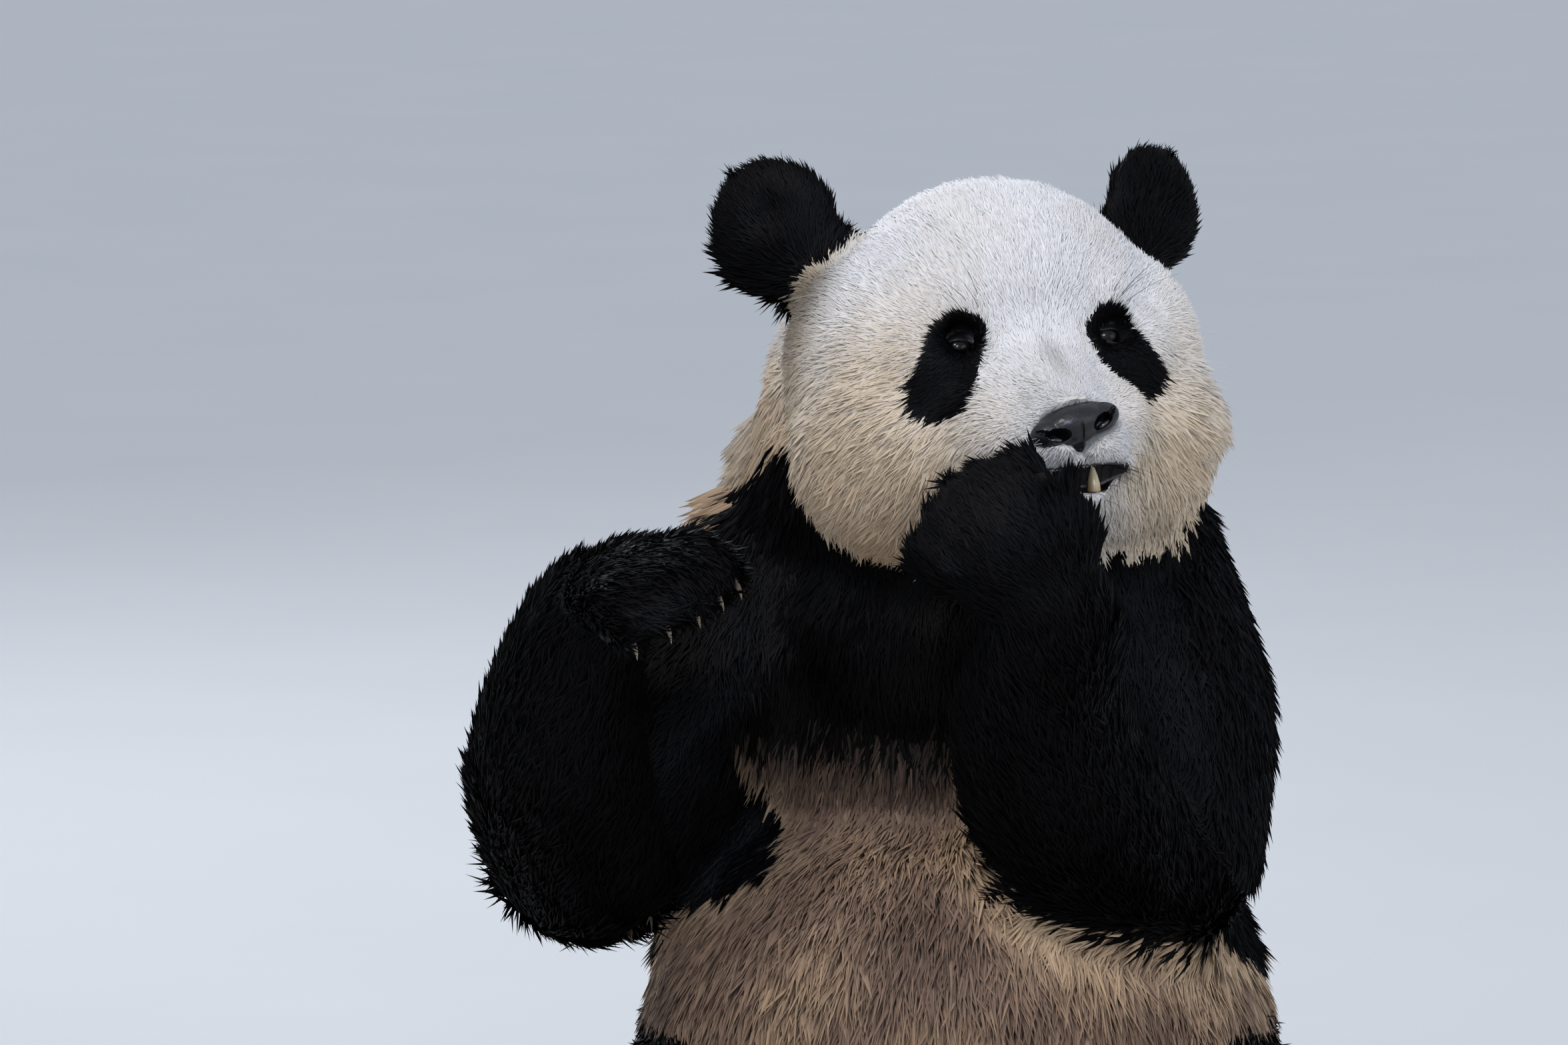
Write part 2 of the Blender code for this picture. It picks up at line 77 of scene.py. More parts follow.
# ---- the coat, by body part: depth of the hide under the solids, length and width of
# a lock, space between locks in mm, and how far a lock stands off the hide in degrees
COAT = {
    "head": (7, 14, 1.1, 1.3, 13),
    "jaw": (5, 10, 1.1, 1.3, 14),
    "neck": (12, 27, 1.5, 2.0, 16),
    "chest": (13, 30, 1.9, 2.75, 18),
    "belly": (14, 34, 1.9, 2.85, 18),
    "tail": (11, 26, 2.0, 2.7, 22),
    "ear": (5, 14, 1.3, 1.6, 20),
    "upper_arm": (12, 26, 1.8, 2.45, 18),
    "forearm": (10, 25, 1.8, 2.35, 18),
    "hand": (5, 19, 1.4, 1.7, 20),
    "thigh": (13, 30, 2.1, 3.1, 19),
    "shank": (10, 24, 1.9, 2.8, 19),
    "foot": (4, 11, 1.5, 2.15, 16),
}
ZONES = {  # the same five values where the coat changes within a part
    "shoulder": (5, 36, 1.4, 2.0, 34),
    "under_ear": (5, 25, 1.3, 1.6, 34),
    "fist": (3, 27, 1.4, 1.6, 40),
    "cheek": (12, 26, 1.0, 1.37, 17),
    "rear": (11, 24, 1.4, 1.95, 17),
    "by_ear": (8, 14, 1.1, 1.35, 15),
    "near_eye": (3.5, 7, 0.9, 1.05, 12),
    "by_nose": (2.2, 6, 0.8, 0.98, 13),
}
DEPTH, LENGTH, WIDTH, SPACE, STAND = range(5)


# ---- tools ----
def linear(code):
    """An sRGB hex colour as linear red, green, blue and alpha."""
    parts = [int(code[i : i + 2], 16) / 255 for i in (1, 3, 5)]
    return [c / 12.92 if c <= 0.04045 else ((c + 0.055) / 1.055) ** 2.4 for c in parts] + [1]


def step(low, high, value):
    """0 below low, 1 above high, and smooth between."""
    t = np.clip((value - low) / (high - low), 0, 1)
    return t * t * (3 - 2 * t)


def unit(rows):
    """Rows of an array at length 1."""
    return rows / np.maximum(np.linalg.norm(rows, axis=-1, keepdims=True), 1e-9)


def ripple(points, size, seed):
    """Smooth noise from -1 to 1 with waves about size long."""
    waves = np.random.default_rng(seed).normal(size=(5, 3))
    phases = points @ (unit(waves) * (2 * pi / size)).T + np.arange(5) * 1.7 + seed
    return np.sin(phases).sum(axis=1) / 3.2


def middle(node):
    """The middle of a node's box."""
    low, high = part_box(node)
    return (low + high) / 2


def shown(name, mesh):
    """An object for a mesh, riding with the animal."""
    made = bpy.data.objects.new(name, mesh)
    bpy.context.scene.collection.objects.link(made)
    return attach(made, "root")


def thing(name, form):
    """A smooth-shaded object from a bmesh, riding with the animal."""
    mesh = bpy.data.meshes.new(name)
    form.to_mesh(mesh)
    form.free()
    mesh.shade_smooth()
    return shown(name, mesh)


def finished(made):
    """Applies an object's modifiers."""
    graph = bpy.context.evaluated_depsgraph_get()
    mesh = bpy.data.meshes.new_from_object(made.evaluated_get(graph))
    made.modifiers.clear()
    made.data = mesh
    mesh.name = made.name
    return made


def fused(made, cell, rounds):
    """Fuses an object's closed forms into one skin and softens it."""
    remesh = made.modifiers.new("remesh", "REMESH")
    remesh.mode = "VOXEL"
    remesh.voxel_size = cell
    if rounds:
        soft = made.modifiers.new("soft", "SMOOTH")
        soft.iterations = rounds
    return finished(made)


def dressed(made, material):
    """Gives an object its one material."""
    made.data.materials.clear()
    made.data.materials.append(material)
    return made


def frame_of(origin, along, face):
    """A frame with +Y along one way and +Z as near as can be to another."""
    y = Vector(along).normalized()
    x = y.cross(Vector(face)).normalized()
    z = x.cross(y)
    return Matrix.Translation(Vector(origin)) @ Matrix((x, y, z)).transposed().to_4x4()


def placed(location, turn=(0, 0, 0), size=(1, 1, 1)):
    """A matrix from a place, Euler degrees and a size."""
    spin = (
        Matrix.Rotation(radians(turn[2]), 3, "Z")
        @ Matrix.Rotation(radians(turn[1]), 3, "Y")
        @ Matrix.Rotation(radians(turn[0]), 3, "X")
    )
    return Matrix.LocRotScale(Vector(location), spin, Vector(size))


def facing_out(form):
    """Turns a closed form's faces outwards; a mirrored frame may have turned them in."""
    form.normal_update()
    bmesh.ops.recalc_face_normals(form, faces=form.faces)
    return form


def ball(form, place, centre, radii, turn=(0, 0, 0)):
    """Adds an ellipsoid to a bmesh, in the axes of place."""
    shape = place @ placed(centre, turn, radii)
    bmesh.ops.create_icosphere(form, subdivisions=3, radius=1, matrix=shape)


# ---- places ----
def head_axes():
    """The head's frame, from its two eyes."""
    left, right = middle("eye_left"), middle("eye_right")
    across = (left - right).normalized()
    back = Vector((0, 0, 1)).cross(across)
    spin = Matrix((across, back, across.cross(back))).transposed()
    spin = spin @ Matrix.Rotation(radians(-HEAD_LIFT), 3, "X")
    origin = (left + right) / 2 - spin @ BETWEEN_EYES
    return Matrix.Translation(origin) @ spin.to_4x4()


HEAD = head_axes()
SHIFT = HEAD.translation - HEAD_AT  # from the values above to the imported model
NOSE_PLACE = HEAD @ Matrix.Translation(NOSE_AT + Vector((-2.5, 0, 1)) * MM)
NOSE_PLACE = NOSE_PLACE @ Matrix.Rotation(NOSE_TILT, 4, "Y")


def within(place, points):
    """Points in a frame's own axes, in mm."""
    back = np.array(place.inverted())
    return (points @ back[:3, :3].T + back[:3, 3]) / MM


# From here on, h stands for points in the head's axes and p for points in the axes that
# the solids were drawn in, both in mm.
def in_head(points):
    return within(HEAD, points)


def in_drawing(points):
    return (points - np.array(SHIFT)) / MM


def from_head(ways):
    """Directions in the head's axes, turned to the animal's."""
    return ways @ np.array(HEAD.to_3x3()).T


def at(*mm):
    """A place given in the drawing's axes, in mm."""
    return Vector(mm) * MM + SHIFT


PAWS = {
    "hand_left": frame_of(at(72, -274, 570), (-0.66, -0.04, 0.75), (-0.25, -0.80, 0.45))
    @ Matrix.Rotation(radians(-8), 4, "X"),
    "hand_right": frame_of(at(-280, -182, 574), (0.42, -0.74, 0.34), (-0.15, -0.35, 0.90))
    @ Matrix.Rotation(radians(-10), 4, "X"),
    "foot_left": frame_of(at(222, -418, 62), (0.12, -0.42, 0.90), (0.05, 0.90, 0.42)),
    "foot_right": frame_of(at(-222, -418, 62), (-0.12, -0.42, 0.90), (-0.05, 0.90, 0.42)),
}


def digits(length, curl):
    """A paw's five digits along +Y, curling to -Z: root, knuckle, tip and heading."""
    found = []
    for number in range(5):
        offset = number - 2
        root = Vector((offset * 0.0225, length - 0.0035 * offset**2, 0.004))
        out = Matrix.Rotation(radians(-offset * 5), 3, "Z")
        first = out @ Matrix.Rotation(radians(-curl * 0.4), 3, "X") @ Vector((0, 1, 0))
        second = out @ Matrix.Rotation(radians(-curl), 3, "X") @ Vector((0, 1, 0))
        knuckle = root + first * 0.024
        found.append((root, knuckle, knuckle + second * 0.022, second))
    return found


# ---- materials ----
def add(tree, kind, inputs=None, stops=None, **settings):
    """Adds a node with its settings; each input takes a value or another node's output."""
    made = tree.nodes.new("ShaderNode" + kind)
    for key, value in settings.items():
        setattr(made, key, value)
    for key, value in (inputs or {}).items():
        if isinstance(value, bpy.types.NodeSocket):
            tree.links.new(value, made.inputs[key])
        else:
            made.inputs[key].default_value = value
    if stops:
        ramp = made.color_ramp.elements
        for number, (place, colour) in enumerate(stops):
            spot = ramp[number] if number < 2 else ramp.new(place)
            spot.position = place
            spot.color = linear(colour)
    return made


def finish(name, **values):
    """A Principled material with its plain values: the material, its tree and shader."""
    made = bpy.data.materials.new(name)
    made.use_nodes = True
    tree = made.node_tree
    shader = tree.nodes["Principled BSDF"]
    for key, value in values.items():
        shader.inputs[key.replace("_", " ")].default_value = value
    return made, tree, shader


def hair_material(name, root, body, tip, stain_and_light_ramp, roughness, gloss, sheen):
    """Keratin guard hair. Locks are darker where they leave the hide and paler at the
    tips, each lock has its own shade, which on white locks also holds painted shade and
    grey hairs, and fine strands run along it."""
    made, tree, shader = finish(
        name, Roughness=roughness, IOR=1.55, Sheen_Weight=sheen, Sheen_Roughness=0.45,
        Specular_IOR_Level=gloss,
    )
    along = add(tree, "Attribute", attribute_name="along").outputs["Fac"]
    shade = add(tree, "Attribute", attribute_name="shade").outputs["Fac"]
    stain = add(tree, "Attribute", attribute_name="stain").outputs["Fac"]
    strand = add(tree, "Attribute", attribute_name="strand").outputs["Vector"]
    # strands about 0.25 mm wide: coarser than a real hair, so that they show
    streaks = add(
        tree, "TexNoise", {"Vector": strand, "Scale": 1.0, "Detail": 2.0, "Roughness": 0.6}
    ).outputs["Fac"]
    grown = add(tree, "ValToRGB", {"Fac": along}, [(0, root), (0.45, body), (1, tip)])
    tint = add(tree, "ValToRGB", {"Fac": stain}, stain_and_light_ramp).outputs[0]
    dirty = add(tree, "Mix", {0: 1.0, 6: grown.outputs[0], 7: tint},
                data_type="RGBA", blend_type="MULTIPLY").outputs[2]
    level = add(tree, "Math", {0: streaks, 1: 0.26, 2: 0.87}, operation="MULTIPLY_ADD")
    level = add(tree, "Math", {0: level.outputs[0], 1: shade}, operation="MULTIPLY").outputs[0]
    even = add(tree, "HueSaturation", {"Color": dirty, "Value": level})
    tree.links.new(even.outputs[0], shader.inputs["Base Color"])
    return made


# the white coat's dirt, from clean over cream and brown to nearly black; its dark end
# also stands in for painted shade at the top of the belly, and less of it for painted
# light on the left jowl
DIRT_AND_PAINTED_LIGHT = [(0, "#ffffff"), (0.4, "#edd9bc"), (0.62, "#d3b38f"), (0.82, "#957a67"), (1, "#534338")]


def hide_material():
    """The hide between the locks: deep fur seen end on, dark and matt, with the coat's
    markings, and bare dark skin where the lips are."""
    made, tree, shader = finish(
        "hide_under_the_coat", Roughness=0.85, IOR=1.4, Specular_IOR_Level=0.2
    )
    black = add(tree, "Attribute", attribute_name="black").outputs["Fac"]
    stain = add(tree, "Attribute", attribute_name="stain").outputs["Fac"]
    bare = add(tree, "Attribute", attribute_name="bare").outputs["Fac"]
    place = add(tree, "TexCoord").outputs["Object"]
    # underfur in tufts about 2 mm across
    fluff = add(tree, "TexNoise", {"Vector": place, "Scale": 480.0, "Detail": 3.0})
    pale = add(tree, "ValToRGB", {"Fac": fluff.outputs["Fac"]},
               [(0.3, "#d6d3ce"), (0.7, "#ecebe8")]).outputs[0]
    tint = add(tree, "ValToRGB", {"Fac": stain}, DIRT_AND_PAINTED_LIGHT)
    pale = add(tree, "Mix", {0: 1.0, 6: pale, 7: tint.outputs[0]},
               data_type="RGBA", blend_type="MULTIPLY").outputs[2]
    dark = add(tree, "ValToRGB", {"Fac": fluff.outputs["Fac"]},
               [(0.3, "#040304"), (0.7, "#0b0a0b")]).outputs[0]
    coat = add(tree, "Mix", {0: black, 6: pale, 7: dark}, data_type="RGBA").outputs[2]
    # lip skin, finely pitted at about 1.2 mm
    grain = add(tree, "TexVoronoi", {"Vector": place, "Scale": 850.0})
    lip = add(tree, "ValToRGB", {"Fac": grain.outputs["Distance"]},
              [(0.0, "#140d0e"), (0.8, "#070405")]).outputs[0]
    whole = add(tree, "Mix", {0: bare, 6: coat, 7: lip}, data_type="RGBA").outputs[2]
    tree.links.new(whole, shader.inputs["Base Color"])
    matt = add(tree, "MapRange", {"Value": bare, "To Min": 0.85, "To Max": 0.6})
    tree.links.new(matt.outputs[0], shader.inputs["Roughness"])
    bump = add(tree, "Bump", {"Height": fluff.outputs["Fac"], "Strength": 0.5,
                              "Distance": 1.5 * MM})
    tree.links.new(bump.outputs[0], shader.inputs["Normal"])
    return made


def leather_material(name, low, high, cell, roughness, coat, wet):
    """Hairless skin: fine cells, cell mm across, with grooves between them, and a thin
    wet film with the weight coat and the roughness wet."""
    made, tree, shader = finish(
        name, Roughness=roughness, IOR=1.38, Coat_Weight=coat, Coat_Roughness=wet
    )
    place = add(tree, "TexCoord").outputs["Object"]
    worn = add(tree, "TexNoise", {"Vector": place, "Scale": 90.0, "Detail": 4.0})
    cells = add(tree, "TexVoronoi", {"Vector": place, "Scale": 1 / (cell * MM)},
                feature="SMOOTH_F1")
    colour = add(tree, "ValToRGB", {"Fac": worn.outputs["Fac"]}, [(0.3, low), (0.75, high)])
    tree.links.new(colour.outputs[0], shader.inputs["Base Color"])
    creases = add(tree, "TexNoise", {"Vector": place, "Scale": 240.0, "Detail": 5.0})
    height = add(tree, "Math", {0: cells.outputs["Distance"], 1: -1.0,
                                2: creases.outputs["Fac"]}, operation="MULTIPLY_ADD")
    bump = add(tree, "Bump", {"Height": height.outputs[0], "Strength": 0.6,
                              "Distance": 0.5 * MM})
    tree.links.new(bump.outputs[0], shader.inputs["Normal"])
    return made


def eye_material():
    """A dark brown iris round a black pupil, behind a wet clear cornea."""
    made, tree, shader = finish(
        "eye_wet_cornea", Roughness=0.3, IOR=1.376, Specular_IOR_Level=0.1,
        Coat_Weight=0.55, Coat_Roughness=0.02, Coat_IOR=1.38,
    )
    # the attribute runs from 0 on the axis of sight to 1 at the side of the ball
    off_axis = add(tree, "Attribute", attribute_name="off_axis").outputs["Fac"]
    place = add(tree, "TexCoord").outputs["Object"]
    fibres = add(tree, "TexNoise", {"Vector": place, "Scale": 700.0, "Detail": 3.0})
    spread = add(tree, "Math", {0: fibres.outputs["Fac"], 1: 0.12, 2: off_axis},
                 operation="MULTIPLY_ADD")
    colour = add(tree, "ValToRGB", {"Fac": spread.outputs[0]},
                 [(0.36, "#020202"), (0.42, "#0f0907"), (0.66, "#1a110c"),
                  (0.76, "#080606"), (1.0, "#14100e")])
    tree.links.new(colour.outputs[0], shader.inputs["Base Color"])
    return made


def horn_material(name, low, high, dark_end, grain):
    """Claw or tooth: fine lines run along it, and its root and tip differ in colour."""
    made, tree, shader = finish(name, Roughness=0.38, IOR=1.55, Coat_Weight=0.25)
    along = add(tree, "Attribute", attribute_name="along").outputs["Fac"]
    strand = add(tree, "Attribute", attribute_name="strand").outputs["Vector"]
    lines = add(tree, "TexNoise", {"Vector": strand, "Scale": grain, "Detail": 4.0})
    colour = add(tree, "ValToRGB", {"Fac": along}, [(0, dark_end), (0.35, low), (1, high)])
    streak = add(tree, "MapRange", {"Value": lines.outputs["Fac"], "To Min": 0.7,
                                    "To Max": 1.3})
    even = add(tree, "HueSaturation", {"Color": colour.outputs[0],
                                       "Value": streak.outputs[0]})
    tree.links.new(even.outputs[0], shader.inputs["Base Color"])
    bump = add(tree, "Bump", {"Height": lines.outputs["Fac"], "Strength": 0.4,
                              "Distance": 0.2 * MM})
    tree.links.new(bump.outputs[0], shader.inputs["Normal"])
    return made


WHITE_HAIR = hair_material(
    "guard_hair_white", "#d9dadd", "#edeef1", "#f7f7f9", DIRT_AND_PAINTED_LIGHT,
    roughness=0.62, gloss=0.12, sheen=0.08,
)
BLACK_HAIR = hair_material(
    "guard_hair_black", "#020202", "#040405", "#09080a",
    [(0, "#ffffff"), (0.6, "#ffffff"), (1, "#ffe2cc")],
    roughness=0.5, gloss=0.06, sheen=0.0,
)
HIDE = hide_material()
LID = leather_material(
    "eyelid_bare_skin", "#040304", "#0d0b0d", cell=0.9, roughness=0.6, coat=0.1, wet=0.3
)
NOSE = leather_material(
    "nose_wet_leather", "#050506", "#0e0d11", cell=0.8, roughness=0.4, coat=0.25, wet=0.14
)
LIP = leather_material(
    "lip_bare_skin", "#0d090b", "#241a1f", cell=1.0, roughness=0.42, coat=0.4, wet=0.1
)
LINING = leather_material(
    "nostril_wet_lining", "#201c26", "#352e3b", cell=1.2, roughness=0.3, coat=0.9, wet=0.16
)
PAD = leather_material(
    "paw_pad_thick_skin", "#0e0b0b", "#241d1a", cell=1.3, roughness=0.65, coat=0.05, wet=0.4
)
EYE = eye_material()
CLAW = horn_material("claw_horn", "#4d4239", "#a8957b", "#1d1917", grain=60.0)
TOOTH = horn_material("tooth_enamel", "#cdb98c", "#e9dcbd", "#8a6a48", grain=20.0)


# ---- the hide ----
FLESH = [
    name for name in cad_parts
    if not name.startswith(("eye", "claw", "tooth", "nose"))
]
KINDS = np.array([name.replace("_left", "").replace("_right", "") for name in FLESH])
HEAD_KINDS = ["head", "jaw"]
HIDE_CELL = 5.8 * MM
SWELL = 0.5 * MM  # so that solids which meet in a flat cut fuse


def merged(name):
    """A copy of a node's mesh with its triangles joined, swollen a little."""
    form = bmesh.new()
    form.from_mesh(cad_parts[name].data)
    bmesh.ops.remove_doubles(form, verts=form.verts, dist=0.02 * MM)
    form.normal_update()
    for vert in form.verts:
        vert.co += vert.normal * SWELL
    return form


def joined_flesh():
    """The solids of flesh as one closed form, a tree of their own faces, and the number
    in FLESH of each of those faces."""
    whole = bmesh.new()
    points, faces, owners = [], [], []
    for number, name in enumerate(FLESH):
        form = merged(name)
        start = len(points)
        points += [vert.co.copy() for vert in form.verts]
        faces += [[start + vert.index for vert in face.verts] for face in form.faces]
        owners += [number] * len(form.faces)
        mesh = bpy.data.meshes.new(name)
        form.to_mesh(mesh)
        form.free()
        whole.from_mesh(mesh)
    made = fused(thing("hide", whole), HIDE_CELL, 0)
    form = bmesh.new()
    form.from_mesh(made.data)
    gap, inside = mouth_gap(in_head(np.array([vert.co for vert in form.verts])))
    near = (np.abs(gap) < 20) & (inside > -14)  # the lips need finer faces
    edges = [edge for edge in form.edges if all(near[vert.index] for vert in edge.verts)]
    bmesh.ops.subdivide_edges(form, edges=edges, cuts=2, use_grid_fill=True)
    bmesh.ops.triangulate(form, faces=[face for face in form.faces if len(face.verts) > 4])
    form.to_mesh(made.data)
    form.free()
    return made, BVHTree.FromPolygons(points, faces), owners


class Surface:
    """A mesh as arrays, with the fields the coat grows by."""

    def __init__(self, made):
        mesh = made.data
        count = len(mesh.vertices)
        self.made = made
        self.points = np.empty(count * 3)
        mesh.vertices.foreach_get("co", self.points)
        self.points = self.points.reshape(-1, 3)
        edges = np.empty(len(mesh.edges) * 2, int)
        mesh.edges.foreach_get("vertices", edges)
        self.edges = edges.reshape(-1, 2)
        mesh.calc_loop_triangles()
        corners = np.empty(len(mesh.loop_triangles) * 3, int)
        mesh.loop_triangles.foreach_get("vertices", corners)
        self.corners = corners.reshape(-1, 3)
        self.valence = np.maximum(np.bincount(self.edges.ravel(), minlength=count), 1)

    def eased(self, values, times=1, share=0.5):
        """Values on the vertices, each moved towards its neighbours' mean."""
        flat = values.reshape(len(values), -1).astype(float)
        a, b = self.edges.T
        for _ in range(times):
            for column in range(flat.shape[1]):
                now = flat[:, column]
                total = np.bincount(a, now[b], len(now)) + np.bincount(b, now[a], len(now))
                flat[:, column] = now + share * (total / self.valence - now)
        return flat.reshape(values.shape)

    def smooth(self, times, shrink, grow):
        """Smooths the facets; every second pass undoes the first one's shrinking."""
        for _ in range(times):
            self.points = self.eased(self.points, 1, shrink)
            self.points = self.eased(self.points, 1, grow)

    def normals(self):
        a, b, c = (self.points[self.corners[:, i]] for i in range(3))
        faces = np.cross(b - a, c - a)
        total = np.zeros_like(self.points)
        for i in range(3):
            for axis in range(3):
                total[:, axis] += np.bincount(
                    self.corners[:, i], faces[:, axis], len(self.points)
                )
        return unit(total)

    def write(self):
        self.made.data.vertices.foreach_set("co", self.points.ravel())
        self.made.data.update()

    def keep(self, **fields):
        """Writes fields as attributes of the mesh."""
        for name, values in fields.items():
            layer = self.made.data.attributes.new(name, "FLOAT", "POINT")
            layer.data.foreach_set("value", values)


def mouth_gap(h):
    """How far a point is from the mouth's mid plane, and how far inside its outline."""
    ahead = h - np.array(MOUTH_AT) / MM
    height = ahead[:, 2] * cos(MOUTH_SLOPE) - ahead[:, 1] * sin(MOUTH_SLOPE)
    inside = np.minimum(MOUTH_WIDTH / MM / 2 - np.abs(ahead[:, 0]), 4 - ahead[:, 1])
    return height, inside


def reach(h, spot):
    """Distance in mm to a place on the head."""
    return np.linalg.norm(h - np.array(spot) / MM, axis=1)


def eye_reach(h):
    """Distance in mm to the nearer eye."""
    return np.minimum(*[reach(h, spot) for spot in EYE_SPOTS.values()])


def pad_edge(points):
    """1 at the edge of the nose pad, less inside it and more outside."""
    half_width, half_height, deep = 34, 13.5, 30
    own = within(NOSE_PLACE, points)
    edge = np.hypot(own[:, 0] / half_width, (own[:, 2] - 1) / half_height)
    return np.where(np.abs(own[:, 1]) < deep, edge, 2)


def ear_root(h):
    """Distance in mm to the place where the nearer ear leaves the head."""
    folded = np.column_stack([np.abs(h[:, 0]), h[:, 1:]])
    return np.linalg.norm(folded - (118, 20, 72), axis=1)


def coat_of(labels, points):
    """The COAT values at each point, with those of the ZONES mixed in."""
    coat = np.array([COAT[kind] for kind in KINDS], float)[labels]
    kinds = KINDS[labels]
    h, p = in_head(points), in_drawing(points)
    of_head = np.isin(kinds, HEAD_KINDS)
    # the crest of the right shoulder, and the knuckles of the fist
    shoulder = step(105, 145, -p[:, 0]) * (1 - step(225, 260, -p[:, 0]))
    shoulder *= step(585, 620, p[:, 2]) * (1 - step(665, 715, p[:, 2])) * (1 - of_head)
    shoulder *= step(-60, -20, p[:, 1])
    fist = (kinds == "hand") * step(40, 56, p[:, 0]) * step(598, 626, p[:, 2])
    fist *= 1 - step(655, 680, p[:, 2])
    shares = {
        "shoulder": shoulder,
        "under_ear": (kinds == "ear") * (h[:, 0] < 0) * (1 - step(88, 118, h[:, 2])),
        "fist": fist,
        "cheek": of_head * step(45, 110, np.abs(h[:, 0])) * (1 - step(-30, 45, h[:, 2])),
        "rear": of_head * step(-30, 60, h[:, 1]),
        "by_ear": of_head * (1 - step(24, 50, ear_root(h))),
        "near_eye": of_head * (1 - step(22, 62, eye_reach(h))),
        "by_nose": of_head * (1 - step(34, 105, reach(h, NOSE_AT))),
    }
    for zone, share in shares.items():
        coat += share[:, None] * (np.array(ZONES[zone]) - coat)
    return coat


def palm_side(points, normals):
    """1 on the soles and palms, which are nearly bare."""
    half_width, half_depth, digit = 75, 60, 60  # more than any paw's, in mm
    share = np.zeros(len(points))
    for name, place in PAWS.items():
        x, y, z = within(place, points).T
        facing = normals @ np.array(place.to_3x3())[:, 2]
        length = (HAND if name.startswith("hand") else FOOT)[0] / MM
        on_paw = (np.abs(x) < half_width) & (np.abs(z) < half_depth)
        on_paw &= (y > length * 0.2) & (y < length + digit)
        share = np.maximum(share, on_paw * step(0.2, 0.6, -facing))
    return share


hide, flesh_tree, owners = joined_flesh()
skin = Surface(hide)
labels = np.array([owners[flesh_tree.find_nearest(Vector(point))[2]] for point in skin.points])
of_head = np.isin(KINDS[labels], HEAD_KINDS)
skin.smooth(6, 0.55, -0.57)

# the hide sinks under the solids by the coat's depth, and hardly at lips, nose and palms
outward = skin.normals()
fields = skin.eased(coat_of(labels, skin.points), 10)
h = in_head(skin.points)
gap, inside = mouth_gap(h)
lips = (1 - step(4.5, 8, np.abs(gap))) * step(-6, 0, inside)  # 1 close to the mouth
near_nose = np.linalg.norm((h - np.array(NOSE_AT) / MM) / (1.5, 1, 1), axis=1)
palms = skin.eased(palm_side(skin.points, outward), 2)
depth = fields[:, DEPTH] * (1 - lips) * (1 - 0.7 * palms)
depth *= step(18, 34, near_nose) * 0.9 + 0.1
depth += 7 * step(50, 90, h[:, 0]) * (1 - step(-85, -50, h[:, 2]))  # a slimmer left jowl
skin.points = skin.points - outward * skin.eased(depth, 3)[:, None] * MM
skin.smooth(3, 0.5, -0.5)

# the mouth is pressed in, and parted on its left side
h = in_head(skin.points)
gap, inside = mouth_gap(h)
parted = step(-22, 6, h[:, 0]) * (1 - step(34, 54, h[:, 0]))
ahead = step(-6, 14, inside)
drop = 8.5 * parted * ahead * (1 - step(3, 34, -gap)) * (gap < 0)
lift = 3.0 * parted * ahead * (1 - step(3, 16, gap)) * (gap >= 0)
inwards = unit(np.column_stack([-h[:, 0], -96 - h[:, 1], 0 * gap]))
pushed = inwards * (16 * lips * step(2, 18, inside))[:, None]
pushed[:, 2] += lift - drop
skin.points = skin.points + from_head(skin.eased(pushed, 2)) * MM
skin.write()
outward = skin.normals()


# ---- markings ----
PATCHES = (  # each dark patch round an eye: upper and lower middle and radius, in mm
    ((55, 19, 19.5), (79, -18, 20.5)),
    ((-65, 15, 22), (-86, -29, 21.5)),
)


def patch_depth(h):
    """How far a point is inside a dark patch, in mm."""
    best = np.full(len(h), -1e3)
    for (x0, z0, r0), (x1, z1, r1) in PATCHES:
        flat = h[:, [0, 2]]
        start, way = np.array((x0, z0)), np.array((x1 - x0, z1 - z0))
        t = np.clip((flat - start) @ way / (way @ way), 0, 1)
        away = np.linalg.norm(flat - start - t[:, None] * way, axis=1)
        best = np.maximum(best, r0 + (r1 - r0) * t - away)
    return np.where(h[:, 1] < -50, best, -1e3)


def below_ear(h):
    """1 below the right ear, where the hair is browner and painted shade darkens it; there
    is a little by the left one too.
    """
    rise = h[:, 2] - 58
    away = np.linalg.norm(np.column_stack([
        np.abs(h[:, 0]) - 146, (h[:, 1] - 2) / 1.1, rise / np.where(rise > 0, 0.9, 1.6),
    ]), axis=1)
    return (1 - step(14, 58, away)) * np.where(h[:, 0] < 0, 1, 0.2)


def grey_hair_and_painted_shade(points, labels):
    """1 where the white hairs have their own colour, and less where they are darker:
    painted shade where the belly meets the black of the chest, under the arms, which is
    also a soft border to the black; grey hairs on the bridge of the nose and the muzzle;
    painted shade on the chin under the lip, on the neck under the head, and below the
    ears, where the hair is also browner."""
    kinds = KINDS[labels]
    h, p = in_head(points), in_drawing(points)
    # painted shade on the front of the belly, darker up towards the black chest and the arms
    # above it; it is also a soft border to the black
    front = (1 - step(20, 120, p[:, 1])) * np.isin(kinds, ["belly", "chest"])
    height = p[:, 2] + 6 * ripple(points, 0.05, 12)
    fade = front * (0.62 * step(340, 440, height) + 0.31 * step(405, 450, height))
    # painted shade on the neck, under the head
    neck = 0.14 * (kinds == "neck")
    bridge = 0.30 * np.exp(-((h[:, 0] / 9) ** 2) - ((h[:, 2] + 4) / 20) ** 2)
    muzzle = 0.14 * (1 - step(30, 90, reach(h, NOSE_AT)))
    # painted shade on the chin, under the lower lip
    chin = 0.12 * (1 - step(14, 40, np.linalg.norm(h - (22, -146, -118), axis=1)))
    # with painted shade below the ears
    face = bridge * (h[:, 1] < -60) + muzzle + chin + 0.68 * below_ear(h)
    return 1 - fade - neck - np.isin(kinds, HEAD_KINDS) * face


def neckline(p):
    """Height in mm where the black of the shoulders gives way to the white neck."""
    right = -p[:, 0]
    ahead = 17 * step(40, 110, right) - 75 * step(105, 200, right)
    behind = -58 * step(80, 200, right)
    return 628 - 0.30 * (p[:, 1] - 60) + ahead + (behind - ahead) * step(80, 160, p[:, 1])


